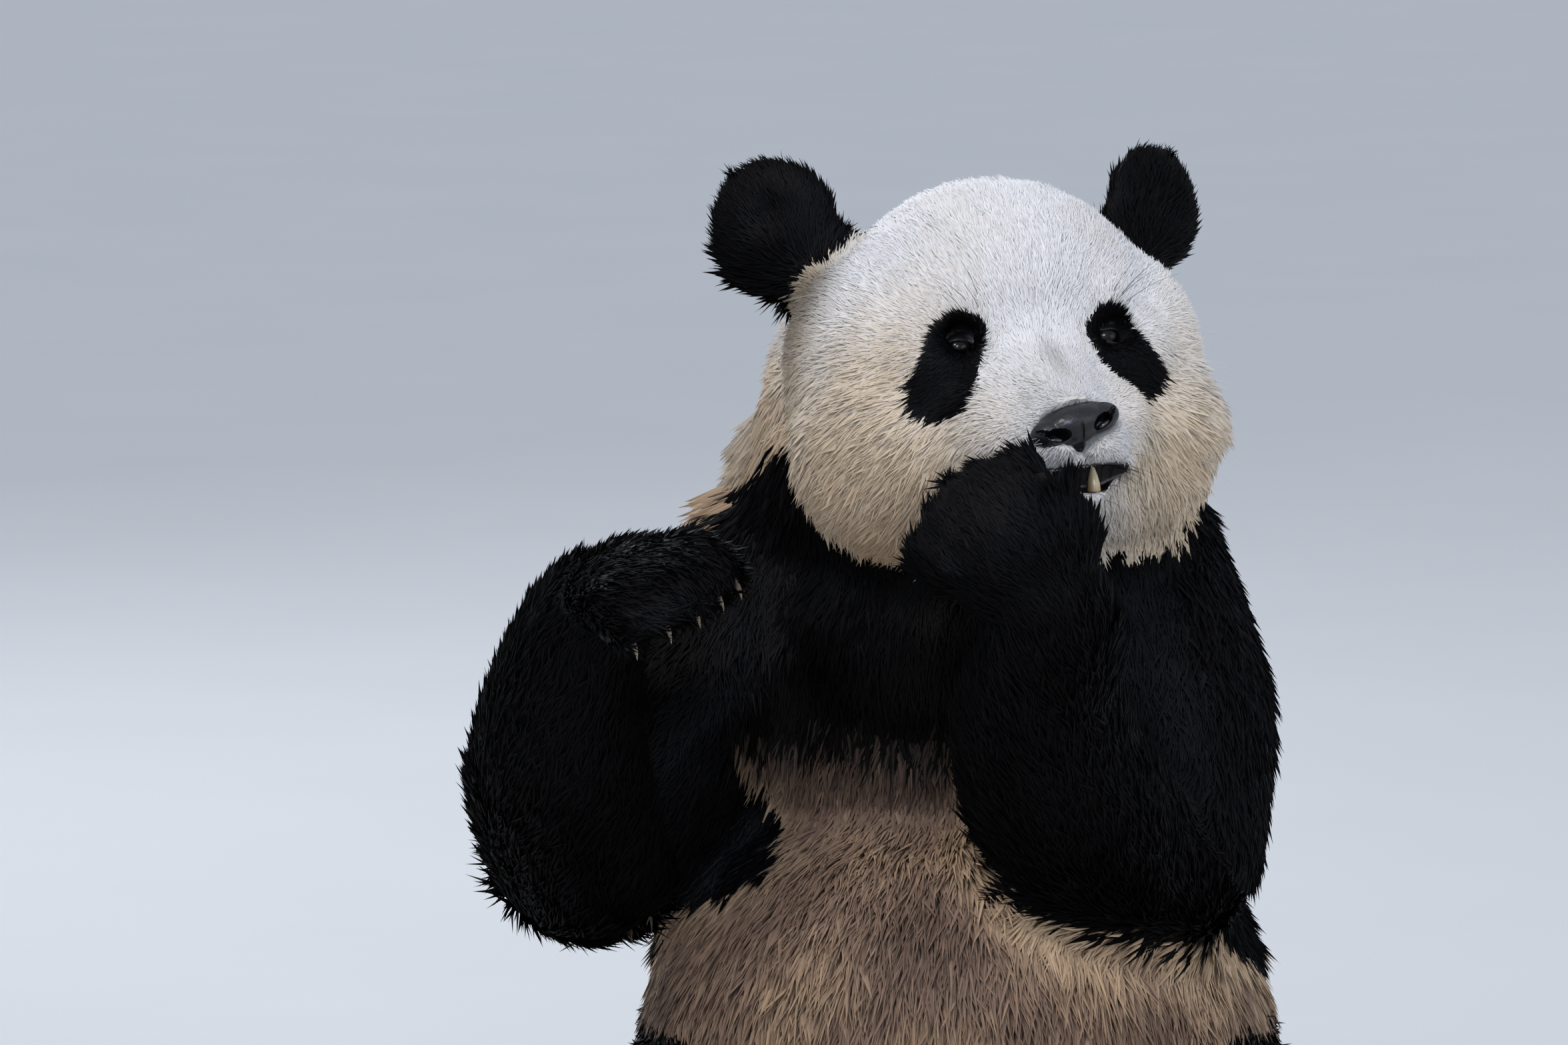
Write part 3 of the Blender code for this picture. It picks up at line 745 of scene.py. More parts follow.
def black_share(points, labels):
    """1 where the coat is black, 0 where it is white."""
    kinds = KINDS[labels]
    h, p = in_head(points), in_drawing(points)
    wander = 5 * ripple(points, 0.05, 3) + 3 * ripple(points, 0.021, 4)
    limbs = np.isin(kinds, ["ear", "upper_arm", "forearm", "hand", "shank", "foot"])
    # the band over chest and shoulders: higher and with a harder lower edge behind
    in_front = p[:, 1] < 60
    soft = 7 + 8 * step(60, 120, -p[:, 0])
    top = step(-1, 1, (neckline(p) + wander - p[:, 2]) / soft)
    bottom = np.where(in_front, 436, 470) - 0.05 * np.abs(p[:, 0]) + wander
    fade = np.where(in_front, 55, 18)
    band = top * step(0, 1, (p[:, 2] - bottom) / fade / 2 + 0.5)
    black = np.where(np.isin(kinds, ["chest", "belly", "neck"]), band, limbs.astype(float))
    knee = -0.55 * (p[:, 1] - 40) + 0.6 * (np.abs(p[:, 0]) - 150) + wander
    black = np.where(kinds == "thigh", step(10, 34, knee), black)
    eyes = step(-2.5, 2.5, patch_depth(h) + 0.35 * wander)
    round_ear = 0.55 * (1 - step(12, 30, ear_root(h)))
    return np.where(np.isin(kinds, HEAD_KINDS), np.maximum(eyes, round_ear), black)


def stain_and_painted_light_share(points, labels):
    """How far the white is browned: by dirt most on the belly, jowls and rump, with painted
    shade at the top of the belly and painted light that leaves the left jowl paler.
    """
    kinds = KINDS[labels]
    h, p = in_head(points), in_drawing(points)
    patchy = 0.12 * ripple(points, 0.09, 5) + 0.08 * ripple(points, 0.03, 6)
    front = 1 - step(-20, 150, p[:, 1])
    # browner still towards the top in front: dirt, and painted shade under the chest and arms
    belly = 0.30 + 0.50 * front + 0.14 * front * step(370, 450, p[:, 2])
    belly += 0.14 * (1 - step(20, 160, p[:, 2]))  # the seat picks up dirt
    nape = 0.35 + 0.07 * (1 - step(0, 120, p[:, 1]))
    stain = np.where(np.isin(kinds, ["belly", "chest", "thigh", "tail"]), belly, nape)
    stain = np.where(kinds == "ear", 0.4, stain)
    jowl = (1 - step(-85, 75, h[:, 2])) * step(26, 92, np.abs(h[:, 0]))
    # painted light: less brown on the animal's left jowl, standing for more light on that side
    jowl *= 1 - 0.18 * step(0, 90, h[:, 0])
    rear = step(-10, 80, h[:, 1]) * (1 - step(-40, 100, h[:, 2]))
    face = 0.02 + 0.56 * jowl + 0.42 * rear + 0.12 * step(50, 120, h[:, 1])
    stain = np.where(np.isin(kinds, HEAD_KINDS), np.minimum(face, 0.68), stain)
    return np.clip(stain + patchy, 0, 1)


h, p = in_head(skin.points), in_drawing(skin.points)
stains_and_painted_light = skin.eased(stain_and_painted_light_share(skin.points, labels), 60)
stains_and_painted_light += 0.3 * below_ear(h)
# in front, the neck is brown where it meets the black
above = p[:, 2] - neckline(p)
stains_and_painted_light += 0.22 * np.exp(-(((above - 9) / 15) ** 2)) * ~of_head * (1 - step(60, 160, p[:, 1]))
# the lips, the skin under the nose pad and the inside of the parted mouth have no hair
bare = np.maximum(lips, 1 - step(0.9, 1.02, pad_edge(skin.points)))
bare = np.maximum(bare, (gap < 0) * (1 - step(7, 12, -gap)) * step(-6, 0, inside))
skin.keep(black=black_share(skin.points, labels), stain=stains_and_painted_light, bare=bare)
dressed(hide, HIDE)
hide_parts(*FLESH)


# ---- the lie of the coat ----
def limb_way(*nodes):
    """Directions down a limb, one for each of its nodes but the last."""
    spots = [middle(node) for node in nodes]
    return [np.array((b - a).normalized()) for a, b in zip(spots, spots[1:])]


def lie(points, labels, normals):
    """The way the hair lies at each point, along the hide."""
    h, p = in_head(points), in_drawing(points)
    outwards = unit(np.column_stack([p[:, 0], p[:, 1] - 40, np.zeros(len(p))]))
    ways = outwards * 0.25 + (0, 0, -1)  # on the trunk: down, and a little outwards
    for word, side in SIDES:
        arm = limb_way("upper_arm_" + word, "forearm_" + word, "hand_" + word)
        leg = limb_way("thigh_" + word, "shank_" + word, "foot_" + word)
        paw, foot = (
            np.array(PAWS[kind + word].to_3x3() @ Vector((0, 1, 0)))
            for kind in ("hand_", "foot_")
        )
        own = {
            "upper_arm_": arm[0] * 0.6 + (0.25 * side, 0, -0.8), "forearm_": arm[1],
            "hand_": paw, "thigh_": leg[0], "shank_": leg[1], "foot_": foot,
        }
        for kind, way in own.items():
            ways[labels == FLESH.index(kind + word)] = way
        ear = np.array(HEAD @ Vector((EAR_AT.x * side * 0.86, EAR_AT.y, EAR_AT.z * 0.72)))
        here = labels == FLESH.index("ear_" + word)
        ways[here] = points[here] - ear
    ways[labels == FLESH.index("tail")] = (0, 1, -0.25)
    # on the head it runs back from the nose, down the jowls, and away from the eyes
    from_nose = unit(h - (0, -200, -48))
    down = step(30, 95, np.abs(h[:, 0])) * (1 - step(-20, 60, h[:, 2]))
    from_nose[:, 2] -= 0.75 * down
    spots = np.where(h[:, :1] > 0, *[np.array(EYE_SPOTS[side]) / MM for side in (1, -1)])
    away = h - spots
    near = (1 - step(18, 48, np.linalg.norm(away, axis=1)))[:, None]
    radiating = from_head(from_nose * (1 - 0.7 * near) + unit(away) * 0.7 * near)
    ways = unit(np.where(of_head[:, None], radiating, ways))
    for _ in range(8):
        ways = skin.eased(ways, 2)
        ways = unit(ways - (ways * normals).sum(axis=1, keepdims=True) * normals)
    return ways


flow = lie(skin.points, labels, outward)


# ---- locks of hair ----
def scattered(surface, spaces, wanted):
    """Roots spread evenly over a surface: their triangle and place in it."""
    a, b, c = (surface.points[surface.corners[:, i]] for i in range(3))
    areas = np.linalg.norm(np.cross(b - a, c - a), axis=1) / 2
    space = spaces[surface.corners].mean(axis=1) * MM
    counts = areas / space**2 * wanted[surface.corners].mean(axis=1)
    whole = np.floor(counts + dice.random(len(counts))).astype(int)
    chosen = np.repeat(np.arange(len(counts)), whole)
    u, v = dice.random((2, len(chosen)))
    over = u + v > 1
    u[over], v[over] = 1 - u[over], 1 - v[over]
    return chosen, np.column_stack([1 - u - v, u, v])


def gathered(roots, tips, size, share):
    """Tips drawn together into clumps about size across."""
    cells = {}
    for number, key in enumerate(map(tuple, np.floor(roots / size).astype(int))):
        cells.setdefault(key, number)
    seeds = list(cells.values())
    tree = KDTree(len(seeds))
    for number in seeds:
        tree.insert(roots[number], number)
    tree.balance()
    leader = np.array([tree.find(root)[1] for root in roots])
    return tips + (tips[leader] - tips) * share[:, None]


def lock_mesh(name, locks, spots, relief):
    """Locks as one mesh: each a closed blade with a point in the hide, two corners at
    its bend and a point at its tip. spots holds their places on an unwrap of the hide,
    and relief says how far a lock shows its own form."""
    root, bend, tip, up = (locks[key] for key in ("root", "bend", "tip", "up"))
    count = len(root)
    across = unit(np.cross(tip - root, up))
    half = (locks["width"] / 2)[:, None]
    corners = [root, bend - across * half, bend + across * half, tip]
    per = len(corners)
    points = np.stack(corners, axis=1).reshape(-1, 3)
    pattern = np.array([0, 2, 1, 1, 2, 3, 0, 1, 3, 0, 3, 2])  # its four triangles
    loops = (np.arange(count)[:, None] * per + pattern).ravel()
    mesh = bpy.data.meshes.new(name)
    mesh.vertices.add(count * per)
    mesh.vertices.foreach_set("co", points.ravel())
    mesh.loops.add(len(loops))
    mesh.loops.foreach_set("vertex_index", loops)
    mesh.polygons.add(len(loops) // 3)
    mesh.polygons.foreach_set("loop_start", np.arange(0, len(loops), 3))
    mesh.update(calc_edges=True)
    mesh.shade_smooth()
    # Hair lights as the body under it does, so each corner's normal is partly the hide's
    own = np.stack([up, up * 0.6 - across, up * 0.6 + across, up], axis=1)
    lit = unit(own * relief + up[:, None, :]).reshape(-1, 3)
    mesh.normals_split_custom_set_from_vertices(lit)
    along = np.tile([0, 0.45, 0.45, 1.0], count)
    turn = np.tile([1.0, 0, 2, 1.0], count)
    strand = np.column_stack([
        np.repeat(dice.random(count) * 500, per) + turn * 1.6, along * 1.4, along * 0,
    ])
    kept = {"along": along} | {key: np.repeat(locks[key], per) for key in ("shade", "stain")}
    for key, value in kept.items():
        mesh.attributes.new(key, "FLOAT", "POINT").data.foreach_set("value", value)
    layer = mesh.attributes.new("strand", "FLOAT_VECTOR", "POINT")
    layer.data.foreach_set("vector", strand.ravel())
    patch = PATCH_WIDTH * np.array([(0, 0.5), (0.5, 0), (0.5, 1), (1, 0.5)])
    uvs = (spots[:, None, :] + patch).reshape(-1, 2)[loops]
    mesh.uv_layers.new(name="OFBake").data.foreach_set("uv", uvs.ravel())
    return shown(name, mesh)


def unwrapped(points, centre, pole):
    """Points round a centre as turn about a pole and angle from it, both 0 to 1."""
    axis = np.array(Vector(pole).normalized())
    side = unit(np.cross(axis, (0.3, 0.2, 0.9)))
    other = np.cross(axis, side)
    ways = unit(points - np.array(centre))
    turn = np.arctan2(ways @ side, ways @ other) / (2 * pi) + 0.5
    fall = np.arccos(np.clip(ways @ axis, -1, 1)) / pi
    return 0.01 + 0.98 * np.column_stack([turn, fall])


def regions():
    """The coat's pieces: their nodes, the middle of their unwrap and its pole."""
    head, up = HEAD @ Vector((0, 0, -10 * MM)), HEAD.to_3x3() @ Vector((0, 1, 0))
    found = {
        "head": (["head", "jaw"], head, up),
        "neck": (["neck"], middle("neck"), (0, 0, 1)),
        "trunk": (["chest", "belly", "tail"], middle("belly"), (0, 0, 1)),
    }
    for word, _ in SIDES:
        found["ear_" + word] = (["ear_" + word], middle("ear_" + word), (0, 0, 1))
        for name in ("upper_arm", "forearm", "hand", "thigh", "shank", "foot"):
            node = f"{name}_{word}"
            found[node] = ([node], middle(node), PAWS["foot_" + word].col[1][:3])
    return found


MOST_FACES = 190000  # in a piece
FEWEST_LOCKS = 12  # in a piece
LOCK_FACES = 4
PATCH_WIDTH = 0.003  # of a lock on its piece's map
FLOOR_GAP = 1 * MM  # under the lowest hair
CLUMP = 7 * MM  # across a clump of locks whose tips draw together
LOWER, UPPER = 0.42, 0.60  # the two parts of a lock, before and after its bend, by length
COLOURS = (  # of a coat: its name, hair, whether it is the black one, and relief
    ("white", WHITE_HAIR, False, 0.12),
    ("black", BLACK_HAIR, True, 0.6),
)


def grow(surface, labels, coat, stains_and_painted_light, ways, normals, wanted):
    """Covers a surface with locks of hair, as one piece for each region and colour."""
    chosen, weights = scattered(surface, coat[:, SPACE], wanted)
    corners = surface.corners[chosen]

    def on(values):
        return np.einsum("nk,nk...->n...", weights, values[corners])

    root, up = on(surface.points), unit(on(normals))
    values = on(coat)
    label = labels[corners[np.arange(len(corners)), weights.argmax(axis=1)]]
    way = unit(on(ways))
    count = len(root)
    across = np.cross(up, way)
    # neighbours swing together, and each lock strays a little more, to its own length
    swing = 0.14 * dice.normal(size=count) + 0.22 * ripple(root, 0.035, 11)
    way = unit(way + across * swing[:, None])
    stand = np.radians(values[:, STAND] * (0.72 + 0.56 * dice.random(count)))
    length = values[:, LENGTH] * MM * (
        0.62 + 0.5 * dice.random(count) + 0.45 * dice.random(count) ** 4
    )
    # it leaves the hide steeply, bends, and lies flatter from there on
    first = np.minimum(stand * 1.35, 1.3)[:, None]
    bend = root + (way * np.cos(first) + up * np.sin(first)) * (length * LOWER)[:, None]
    curl = 0.20 * dice.normal(size=count)
    bent_way = unit(way + across * curl[:, None])
    last = (stand * 0.62)[:, None]
    tip = bend + (bent_way * np.cos(last) + up * np.sin(last)) * (length * UPPER)[:, None]
    pull = np.clip(0.0065 * (values[:, LENGTH] - 9), 0.02, 0.16)  # long hair clumps more
    tip = gathered(root, tip, CLUMP, pull)
    for ends in (bend, tip):
        ends[:, 2] = np.maximum(ends[:, 2], FLOOR_GAP)
    # a lock has the colour of the place that it covers, with a mixed border
    seen = root + way * (length * 0.55)[:, None]
    black = black_share(seen, label) > 0.25 + 0.5 * dice.random(count)
    width = values[:, WIDTH] * MM * (0.75 + 0.5 * dice.random(count))
    shade = 0.96 + 0.08 * dice.random(count) + 0.03 * ripple(root, 0.02, 8)
    # white locks are darkened where shade is painted and where grey hairs mix in
    shade = np.where(black, shade, shade * grey_hair_and_painted_shade(seen, label))
    stain = np.clip(on(stains_and_painted_light) + 0.035 * dice.normal(size=count), 0, 1)
    locks = {
        "root": root - up * MM, "bend": bend, "tip": tip, "up": up,
        "width": width, "shade": shade, "stain": stain,
    }
    for region, (nodes, centre, pole) in regions().items():
        here = np.isin(label, [FLESH.index(node) for node in nodes])
        for colour, hair, dark, relief in COLOURS:
            picked = np.flatnonzero(here & (black == dark))
            if len(picked) < FEWEST_LOCKS:
                continue
            spots = unwrapped(root[picked], centre, pole)
            order = np.argsort(spots[:, 0], kind="stable")
            pieces = int(np.ceil(len(picked) * LOCK_FACES / MOST_FACES))
            for number, share in enumerate(np.array_split(order, pieces), 1):
                mark = f"_{number}" if pieces > 1 else ""
                own = {key: rows[picked[share]] for key, rows in locks.items()}
                made = lock_mesh(f"coat_{region}_{colour}{mark}", own, spots[share], relief)
                dressed(made, hair)


haired = 1 - step(0.3, 0.7, bare)
haired *= step(0.97, 1.05, pad_edge(skin.points))
haired *= step(12, 13.5, eye_reach(in_head(skin.points)))
haired *= 1 - 0.75 * palms
grow(skin, labels, fields, stains_and_painted_light, flow, outward, haired)


# ---- eyes and lids ----
def eye_axes(side):
    """An eye's frame: +X to its outer corner, +Y out of the head, +Z up."""
    turn = Matrix.Rotation(radians(24 * side), 3, "Z") @ Matrix.Rotation(radians(-4), 3, "X")
    tilt = Matrix.Rotation(radians(8 * side), 3, "Y")
    look = turn @ Vector((0, -1, 0))
    across = turn @ tilt @ Vector((side, 0, 0))
    up = look.cross(across) * -side
    local = Matrix((across, look, up)).transposed().to_4x4()
    return HEAD @ Matrix.Translation(EYE_SPOTS[side]) @ local


AHEAD = Vector((0, 1, 0))  # the line of sight in an eye's own axes
CORNEA_FROM = 0.82 * EYE_RADIUS  # it bulges from there on
LID_WIDE, LID_UP, LID_LOW = 11.8, 4.7, 4.2  # half the opening's width, and its heights, mm
LID_RINGS = (  # how far out from the lid's edge, mm, and how far up off the eyeball
    (0.0, 0.3), (0.5, 1.1), (1.6, 1.5), (3.2, 1.5), (4.2, 1.1), (5.6, 1.9), (8.0, 3.6),
    (11.0, 6.0), (14.0, 7.6), (17.0, 7.0), (19.0, 4.0),
)
LID_SEGMENTS = 48
LID_FOOT = 4.2  # mm from the eye's middle to the face behind it

head_tree = BVHTree.FromPolygons(
    [Vector(point) for point in skin.points],
    skin.corners[of_head[skin.corners].all(axis=1)].tolist(),
)


def make_eye(word, side):
    """An eyeball with a bulging cornea, a little wider than it is tall."""
    place = eye_axes(side)
    form = bmesh.new()
    bmesh.ops.create_uvsphere(form, u_segments=40, v_segments=20, radius=EYE_RADIUS)
    layer = form.verts.layers.float.new("off_axis")
    for vert in form.verts:
        vert[layer] = (vert.co.normalized() - AHEAD).length / 1.414
        if vert.co.y > CORNEA_FROM:
            vert.co.y += (vert.co.y - CORNEA_FROM) * 0.35
    form.transform(place @ Matrix.Diagonal((1.12, 1, 1, 1)))
    made = thing("eyeball_" + word, facing_out(form))
    dressed(made, EYE)
    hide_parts("eye_" + word)


def make_lids(word, side):
    """Both lids of an eye: a sheet from the edge of the opening, over the ball and
    the fold above it, out to the face."""
    place = eye_axes(side)
    form = bmesh.new()
    bmesh.ops.create_circle(form, segments=LID_SEGMENTS, radius=1)
    ring = list(form.verts)
    angles = [2 * pi * i / LID_SEGMENTS for i in range(LID_SEGMENTS)]
    edges = list(form.edges)
    for number, (out, rise) in enumerate(LID_RINGS):
        if number:
            grown = bmesh.ops.extrude_edge_only(form, edges=edges)["geom"]
            ring_set = [item for item in grown if isinstance(item, bmesh.types.BMVert)]
            pairs = {}
            for vert in ring_set:
                for edge in vert.link_edges:
                    other = edge.other_vert(vert)
                    if other in ring and other not in ring_set:
                        pairs[other] = vert
            ring = [pairs[vert] for vert in ring]
            edges = [
                item for item in grown
                if isinstance(item, bmesh.types.BMEdge)
                and item.verts[0] in ring_set and item.verts[1] in ring_set
            ]
        for vert, angle in zip(ring, angles):
            upper = sin(angle) > 0
            x = cos(angle) * (LID_WIDE + out)
            z = abs(sin(angle)) ** 1.15 * ((LID_UP if upper else LID_LOW) + out)
            z *= 1 if upper else -1
            on_ball = max(0.0, (EYE_RADIUS / MM) ** 2 - x * x - z * z) ** 0.5
            fold = 0.5 * sin(min(out, 8) / 8 * 2 * pi) if upper else 0
            vert.co = Vector((x, max(on_ball, LID_FOOT) + rise + fold, z)) * MM
    form.transform(place)
    look = place.to_3x3() @ AHEAD
    # away from the ball the sheet eases on to the hide, and its rim goes under it
    for vert in form.verts:
        own = (place.inverted() @ vert.co) / MM
        far = ((own.x / (LID_WIDE + 14)) ** 2 + (own.z / (LID_UP + 14)) ** 2) ** 0.5
        hit = head_tree.ray_cast(vert.co + look * 60 * MM, -look)[0]
        if far > 0.45 and hit is not None:
            sunk = 2.5 * MM * float(step(0.97, 1.25, far))
            vert.co = vert.co.lerp(hit - look * sunk, float(step(0.45, 0.95, far)))
    bmesh.ops.recalc_face_normals(form, faces=form.faces)
    if sum(face.normal.dot(look) for face in form.faces) < 0:
        bmesh.ops.reverse_faces(form, faces=form.faces)
    made = thing("eyelids_" + word, form)
    shell = made.modifiers.new("thickness", "SOLIDIFY")
    shell.thickness = 0.8 * MM
    shell.offset = -1
    finer = made.modifiers.new("smooth", "SUBSURF")
    finer.levels = finer.render_levels = 1
    dressed(finished(made), LID)


for word, side in SIDES:
    make_eye(word, side)
    make_lids(word, side)


# ---- nose ----
NOSE_BALLS = (  # middle and radii, +Y into the head: the core, the bridge, two wings,
    # the lower edge and the stem that runs down to the lip
    ((0, 0.004, 0.002), (0.023, 0.017, 0.016)),
    ((0, 0.010, 0.008), (0.026, 0.014, 0.011)),
    ((0, 0.007, -0.007), (0.015, 0.014, 0.010)),
    ((0, 0.015, -0.016), (0.0045, 0.009, 0.010)),
    ((0.018, 0.007, 0), (0.0155, 0.0150, 0.0135)),
    ((-0.018, 0.007, 0), (0.0155, 0.0150, 0.0135)),
)
NOSE_FRONT = 9  # mm from the pad's middle back to where the nostrils end


def oval(x, z, middle_at, radii, lean):
    """1 in the middle of an oval that leans up with x, 0 at its edge and outside."""
    across, up = x - middle_at[0], z - middle_at[1]
    return max(0, 1 - (across / radii[0]) ** 2 - ((up - lean * across) / radii[1]) ** 2)


def make_nose():
    """The nose pad: a broad rounded block with a wide nostril to each side, each with
    a slit that runs out and up, and a groove between them down to the lip."""
    form = bmesh.new()
    for centre, radii in NOSE_BALLS:
        ball(form, NOSE_PLACE, centre, radii)
    flatter = Matrix.Translation((0, 3 * MM, 0)) @ Matrix.Diagonal((1.10, 0.82, 0.84, 1))
    form.transform(NOSE_PLACE @ flatter @ NOSE_PLACE.inverted())
    made = fused(thing("nose_pad", form), 0.9 * MM, 8)
    back = NOSE_PLACE.inverted()
    inward = NOSE_PLACE.to_3x3() @ Vector((0, MM, 0))
    for vert in made.data.vertices:
        x, y, z = (back @ vert.co) / MM
        if y > NOSE_FRONT:
            continue
        hole = 12 * oval(abs(x), z, (18.5, -3.4), (8.8, 5.2), 0.22) ** 0.55
        slit = 5 * oval(abs(x), z, (27.5, 0.8), (6.0, 2.4), 0.55) ** 0.7
        groove = 1.3 * max(0, 1 - (x / 1.2) ** 2) * float(step(5, -5, z))
        vert.co += inward * (hole + slit + groove)
    dressed(made, NOSE)
    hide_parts("nose")
    # the wet lining shows low in each nostril
    lining = bmesh.new()
    for _, side in SIDES:
        low_in = (0.0205 * side, 0.0030, -0.0062)
        ball(lining, NOSE_PLACE, low_in, (0.0054, 0.0030, 0.0018), (0, -16 * side, 0))
    dressed(thing("nostril_lining", lining), LINING)


make_nose()


# ---- claws, teeth and pads ----
def swept(form, path, radii, sides, flat, upward):
    """Adds a closed bar along a path, with a radius for each of its points. It is
    narrower across than along upward where flat is less than 1."""
    along = form.verts.layers.float.get("along") or form.verts.layers.float.new("along")
    strand = form.verts.layers.float_vector.get("strand") or (
        form.verts.layers.float_vector.new("strand"))
    grown = bmesh.ops.create_circle(form, segments=sides, radius=1, cap_ends=True)
    face = grown["verts"][0].link_faces[0]
    angles = [2 * pi * i / sides for i in range(sides)]
    up = Vector(upward)
    last = len(path) - 1
    for number, (centre, radius) in enumerate(zip(path, radii)):
        if number:
            face = bmesh.ops.extrude_discrete_faces(form, faces=[face])["faces"][0]
        heading = (path[min(number + 1, last)] - path[max(number - 1, 0)]).normalized()
        across = heading.cross(up).normalized()
        up = across.cross(heading)
        for vert, angle in zip(face.verts, angles):
            vert.co = centre + (across * cos(angle) * flat + up * sin(angle)) * radius
            vert[along] = number / last
            vert[strand] = Vector((angle, number / last * 0.6, 0))
    return form


def closed(form):
    """Joins the rings that extruding left doubled, and fills each bar's first end."""
    bmesh.ops.remove_doubles(form, verts=form.verts, dist=0.005 * MM)
    rims = [edge for edge in form.edges if edge.is_boundary]
    bmesh.ops.holes_fill(form, edges=rims, sides=0)
    return facing_out(form)


HORN_SECTIONS = 9


def horn_form(form, place, length, width, bend, flat):
    """Adds a curved tapering cone along +Y that bends towards -Z."""
    spot, heading = Vector(), Vector((0, 1, 0))
    turn = Matrix.Rotation(radians(-bend / HORN_SECTIONS), 3, "X")
    path, radii = [], []
    for section in range(HORN_SECTIONS + 1):
        path.append(place @ spot)
        radii.append(width / 2 * max(0.04, 1 - (section / HORN_SECTIONS) ** 1.9))
        spot = spot + heading * length / HORN_SECTIONS
        heading = turn @ heading
    swept(form, path, radii, 12, flat, place.to_3x3() @ Vector((0, 0, 1)))


def make_claws():
    """Five curved claws on each paw, from inside the tips of the digits."""
    for name, place in PAWS.items():
        length, curl = HAND if name.startswith("hand") else FOOT
        form = bmesh.new()
        for _, _, tip, heading in digits(length, curl):
            upward = Vector((1, 0, 0)).cross(heading)
            root = frame_of(tip - heading * 5 * MM + upward * 3 * MM, heading, upward)
            horn_form(form, place @ root, 27 * MM, 9 * MM, 62, 0.60)
        made = thing("claws_" + name, closed(form))
        dressed(made, CLAW)
        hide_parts(*[f"claw_{name}_{number}" for number in range(1, 6)])


def make_teeth():
    """The two lower canines, which show where the mouth is parted."""
    for word, side in SIDES:
        form = bmesh.new()
        place = HEAD @ placed((0.0175 * side, -0.1525, -0.111), (99, 0, 0))
        horn_form(form, place, 25 * MM, 13.5 * MM, 20, 0.8)
        made = thing("canine_" + word, closed(form))
        dressed(made, TOOTH)
        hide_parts("tooth_" + word)


def make_pads():
    """The bare pads: one under each digit, a broad one behind them and a small one
    by the wrist."""
    for name, place in PAWS.items():
        length, curl = HAND if name.startswith("hand") else FOOT
        thumb = (1 if name.endswith("left") else -1) * (1 if name.startswith("hand") else -1)
        form = bmesh.new()
        for _, _, tip, heading in digits(length, curl):
            upward = Vector((1, 0, 0)).cross(heading)
            spot = frame_of(tip - upward * 8.5 * MM - heading * 2 * MM, heading, upward)
            ball(form, place @ spot, (0, 0, 0), (0.0085, 0.0105, 0.0062))
        for offset in (-2, -1, 0, 1, 2):
            broad = (offset * 0.0165, length * 0.80 - 0.0020 * offset**2, -0.0245)
            ball(form, place, broad, (0.0125, 0.0135, 0.0095))
        by_wrist = (0.034 * thumb, length * 0.36, -0.0285)
        ball(form, place, by_wrist, (0.013, 0.016, 0.0085))
        dressed(fused(thing("pads_" + name, form), 1.5 * MM, 5), PAD)


LIP_REACH = 74  # degrees round the muzzle, from its middle to a corner of the mouth
LIP_STEPS = 40
PARTED_FROM, PARTED_TO = -25, 62  # degrees round the muzzle, where the mouth is open


def make_lips():
    """The two bare lips: a dark roll along each edge of the mouth, from corner to
    corner, thin at the corners and fuller in front."""
    spin = HEAD.to_3x3()
    level = spin @ Matrix.Rotation(MOUTH_SLOPE, 3, "X")
    centre = HEAD @ (MOUTH_AT + Vector((0, 6 * MM, 0)))
    for name, edge, parting in (("lip_upper", 1, 2.2), ("lip_lower", -1, -6.0)):
        path, radii = [], []
        for number in range(LIP_STEPS + 1):
            turned = -LIP_REACH + 2 * LIP_REACH * number / LIP_STEPS
            angle = radians(turned)
            way = level @ Vector((sin(angle), -cos(angle), 0))
            half = (1.2 * MM + 60 * MM * cos(angle) * 0.05) * edge
            rise = 0
            if PARTED_FROM < turned < PARTED_TO:
                share = (turned - PARTED_FROM) / (PARTED_TO - PARTED_FROM)
                rise = parting * sin(pi * share) * MM
            start = centre + level @ Vector((0, 0, half + edge * MM + rise))
            hit = head_tree.ray_cast(start + way * 150 * MM, -way)[0]
            if hit is not None:
                path.append(hit - way * 1.2 * MM)
                radii.append((1.0 + 1.6 * cos(angle)) * MM)
        inner = [(a + b * 2 + c) / 4 for a, b, c in zip(path, path[1:], path[2:])]
        spots = [path[0], *inner, path[-1]]
        form = swept(bmesh.new(), spots, radii, 10, 1.0, spin @ Vector((0, 0, 1)))
        dressed(thing(name, closed(form)), LIP)


def make_bristles(name, material, roots, ways, lengths, thick):
    """Long single hairs: each a thin bar from the hide that droops a little."""
    form = bmesh.new()
    sag = Vector((0, 0, -0.22))
    shares = [number / 5 for number in range(6)]
    for root, way, length in zip(roots, ways, lengths):
        path = [root + (way * t + sag * t * t) * length for t in shares]
        radii = [thick * MM * max(0.15, 1 - 0.85 * t) for t in shares]
        swept(form, path, radii, 3, 1.0, way.orthogonal())
    made = thing(name, closed(form))
    layer = made.data.attributes.new("shade", "FLOAT", "POINT")
    layer.data.foreach_set("value", [1.0] * len(made.data.vertices))
    return dressed(made, material)


def face_spot(x, z):
    """The point of the hide behind a place on the face, in the head's axes."""
    start = HEAD @ (Vector((x, -400, z)) * MM)
    return head_tree.ray_cast(start, HEAD.to_3x3() @ Vector((0, 1, 0)))[:2]


BRISTLES = (  # name, whether black, count a side, middle, spread, way, length, thickness
    ("brow_hairs", True, 4, (54, 37), (8, 3), (0.6, -0.3, 0.7), 60, 0.28),
    ("lip_hairs", True, 16, (46, -92), (6, 7), (0.75, -0.65, -0.1), 22, 0.22),
    ("whiskers", False, 14, (34, -74), (12, 7), (0.8, -0.6, -0.15), 34, 0.18),
    ("cheek_hairs", False, 24, (128, -40), (14, 34), (0.95, -0.2, -0.2), 38, 0.2),
)


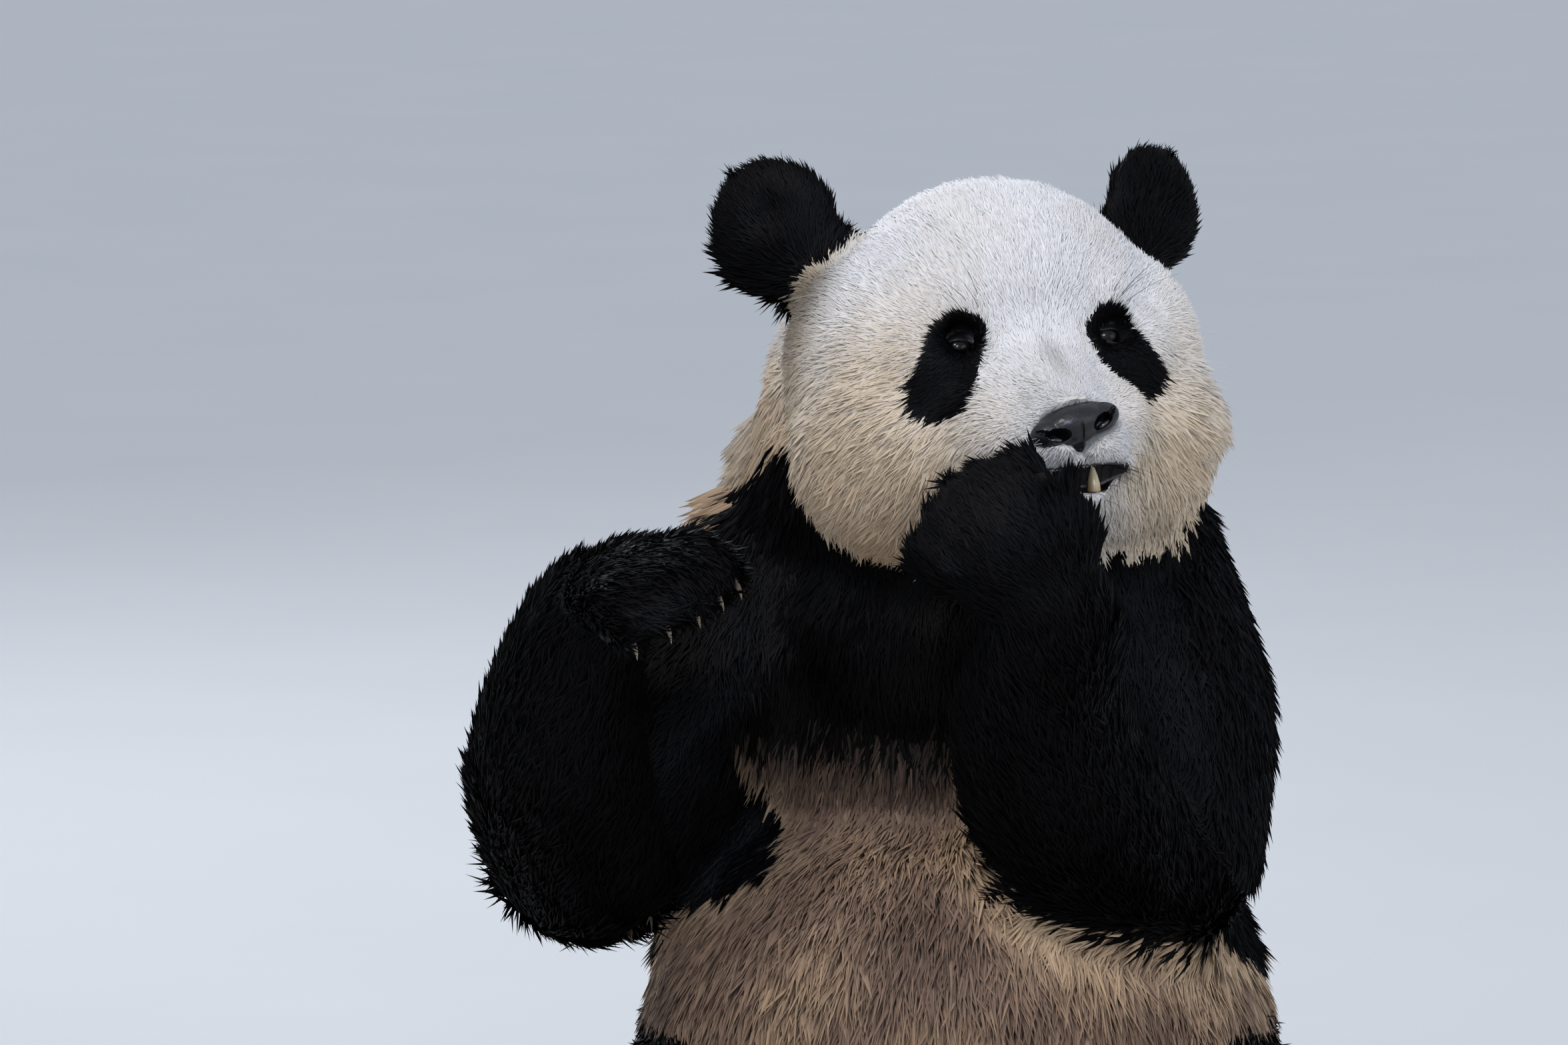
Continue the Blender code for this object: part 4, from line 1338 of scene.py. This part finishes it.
def make_whiskers():
    """Brow hairs over each eye, whiskers on the upper lip and cheeks, and the dark
    hairs that stand out beside the corners of the mouth."""
    spin = HEAD.to_3x3()
    for name, dark, count, spot, spread, aim, length, thick in BRISTLES:
        roots, ways, lengths = [], [], []
        for side in [side for _, side in SIDES for _ in range(count)]:
            x, z = np.array(spot) + dice.normal(size=2) * spread
            hit, normal = face_spot(x * side, z)
            way = Vector((aim[0] * side, aim[1], aim[2])) + Vector(dice.normal(size=3) * 0.22)
            if hit is not None:
                roots.append(hit - normal * MM)
                ways.append((spin @ way + normal * 0.3).normalized())
                lengths.append(length * (0.7 + 0.5 * dice.random()) * MM)
        material, slot = (BLACK_HAIR, "black_coat") if dark else (WHITE_HAIR, "white_coat")
        make_bristles(name, material, roots, ways, lengths, thick)


make_claws()
make_teeth()
make_pads()
make_lips()
make_whiskers()


# ---- floor, light and camera ----
LIGHTS = (  # name, place, width, watts, colour
    ("key_above", (-0.9, -2.2, 3.4), 0.9, 45, "#fff8f0"),
    ("fill_side", (3.0, -2.0, 1.6), 2.0, 20, "#f2f3f6"),
    ("rim_back", (-1.4, 2.8, 2.6), 1.8, 40, "#f2f6ff"),
    ("catch_light", (0.3, -3.2, 2.7), 1.0, 60, "#d3dfff"),
)
LENS = 214  # mm
CAMERA_AWAY = 7.0  # m
CAMERA_DOWN = radians(8)


def studio():
    """A pale floor under a pale sky, with four soft lights."""
    form = bmesh.new()
    bmesh.ops.create_grid(form, x_segments=1, y_segments=1, size=60)
    floor = thing("floor", form)
    floor.parent = None
    made, tree, shader = finish("studio_floor_matt", Roughness=0.9)
    place = add(tree, "TexCoord").outputs["Object"]
    grain = add(tree, "TexNoise", {"Vector": place, "Scale": 3.0, "Detail": 2.0})
    colour = add(tree, "ValToRGB", {"Fac": grain.outputs["Fac"]},
                 [(0.3, "#d3d4d3"), (0.7, "#d6d6d5")])
    tree.links.new(colour.outputs[0], shader.inputs["Base Color"])
    floor.data.materials.append(made)

    world = bpy.data.worlds.new("studio")
    bpy.context.scene.world = world
    world.use_nodes = True
    backdrop = world.node_tree.nodes["Background"]
    backdrop.inputs["Color"].default_value = linear("#dbe4f3")
    backdrop.inputs["Strength"].default_value = 0.85

    aim = Vector((0, -0.05, 0.55))
    for name, spot, width, watts, colour in LIGHTS:
        lamp = bpy.data.objects.new(name, bpy.data.lights.new(name, "AREA"))
        lamp.data.size = width
        lamp.data.energy = watts
        lamp.data.color = linear(colour)[:3]
        lamp.location = spot
        lamp.visible_diffuse = name != "catch_light"  # that one only glints in wet eyes
        lamp.rotation_euler = (aim - Vector(spot)).to_track_quat("-Z", "Y").to_euler()
        bpy.context.scene.collection.objects.link(lamp)


def camera():
    """A long lens above the animal's eyes, looking along +Y and a little down."""
    lens = bpy.data.cameras.new("camera")
    lens.lens = LENS
    lens.clip_end = 200
    eye = bpy.data.objects.new("camera", lens)
    way = Vector((0, -cos(CAMERA_DOWN), sin(CAMERA_DOWN)))
    eye.location = at(-137, -150, 619) + way * CAMERA_AWAY
    eye.rotation_euler = (-way).to_track_quat("-Z", "Y").to_euler()
    bpy.context.scene.collection.objects.link(eye)
    bpy.context.scene.camera = eye


studio()
camera()
bpy.context.scene.view_settings.view_transform = "Standard"
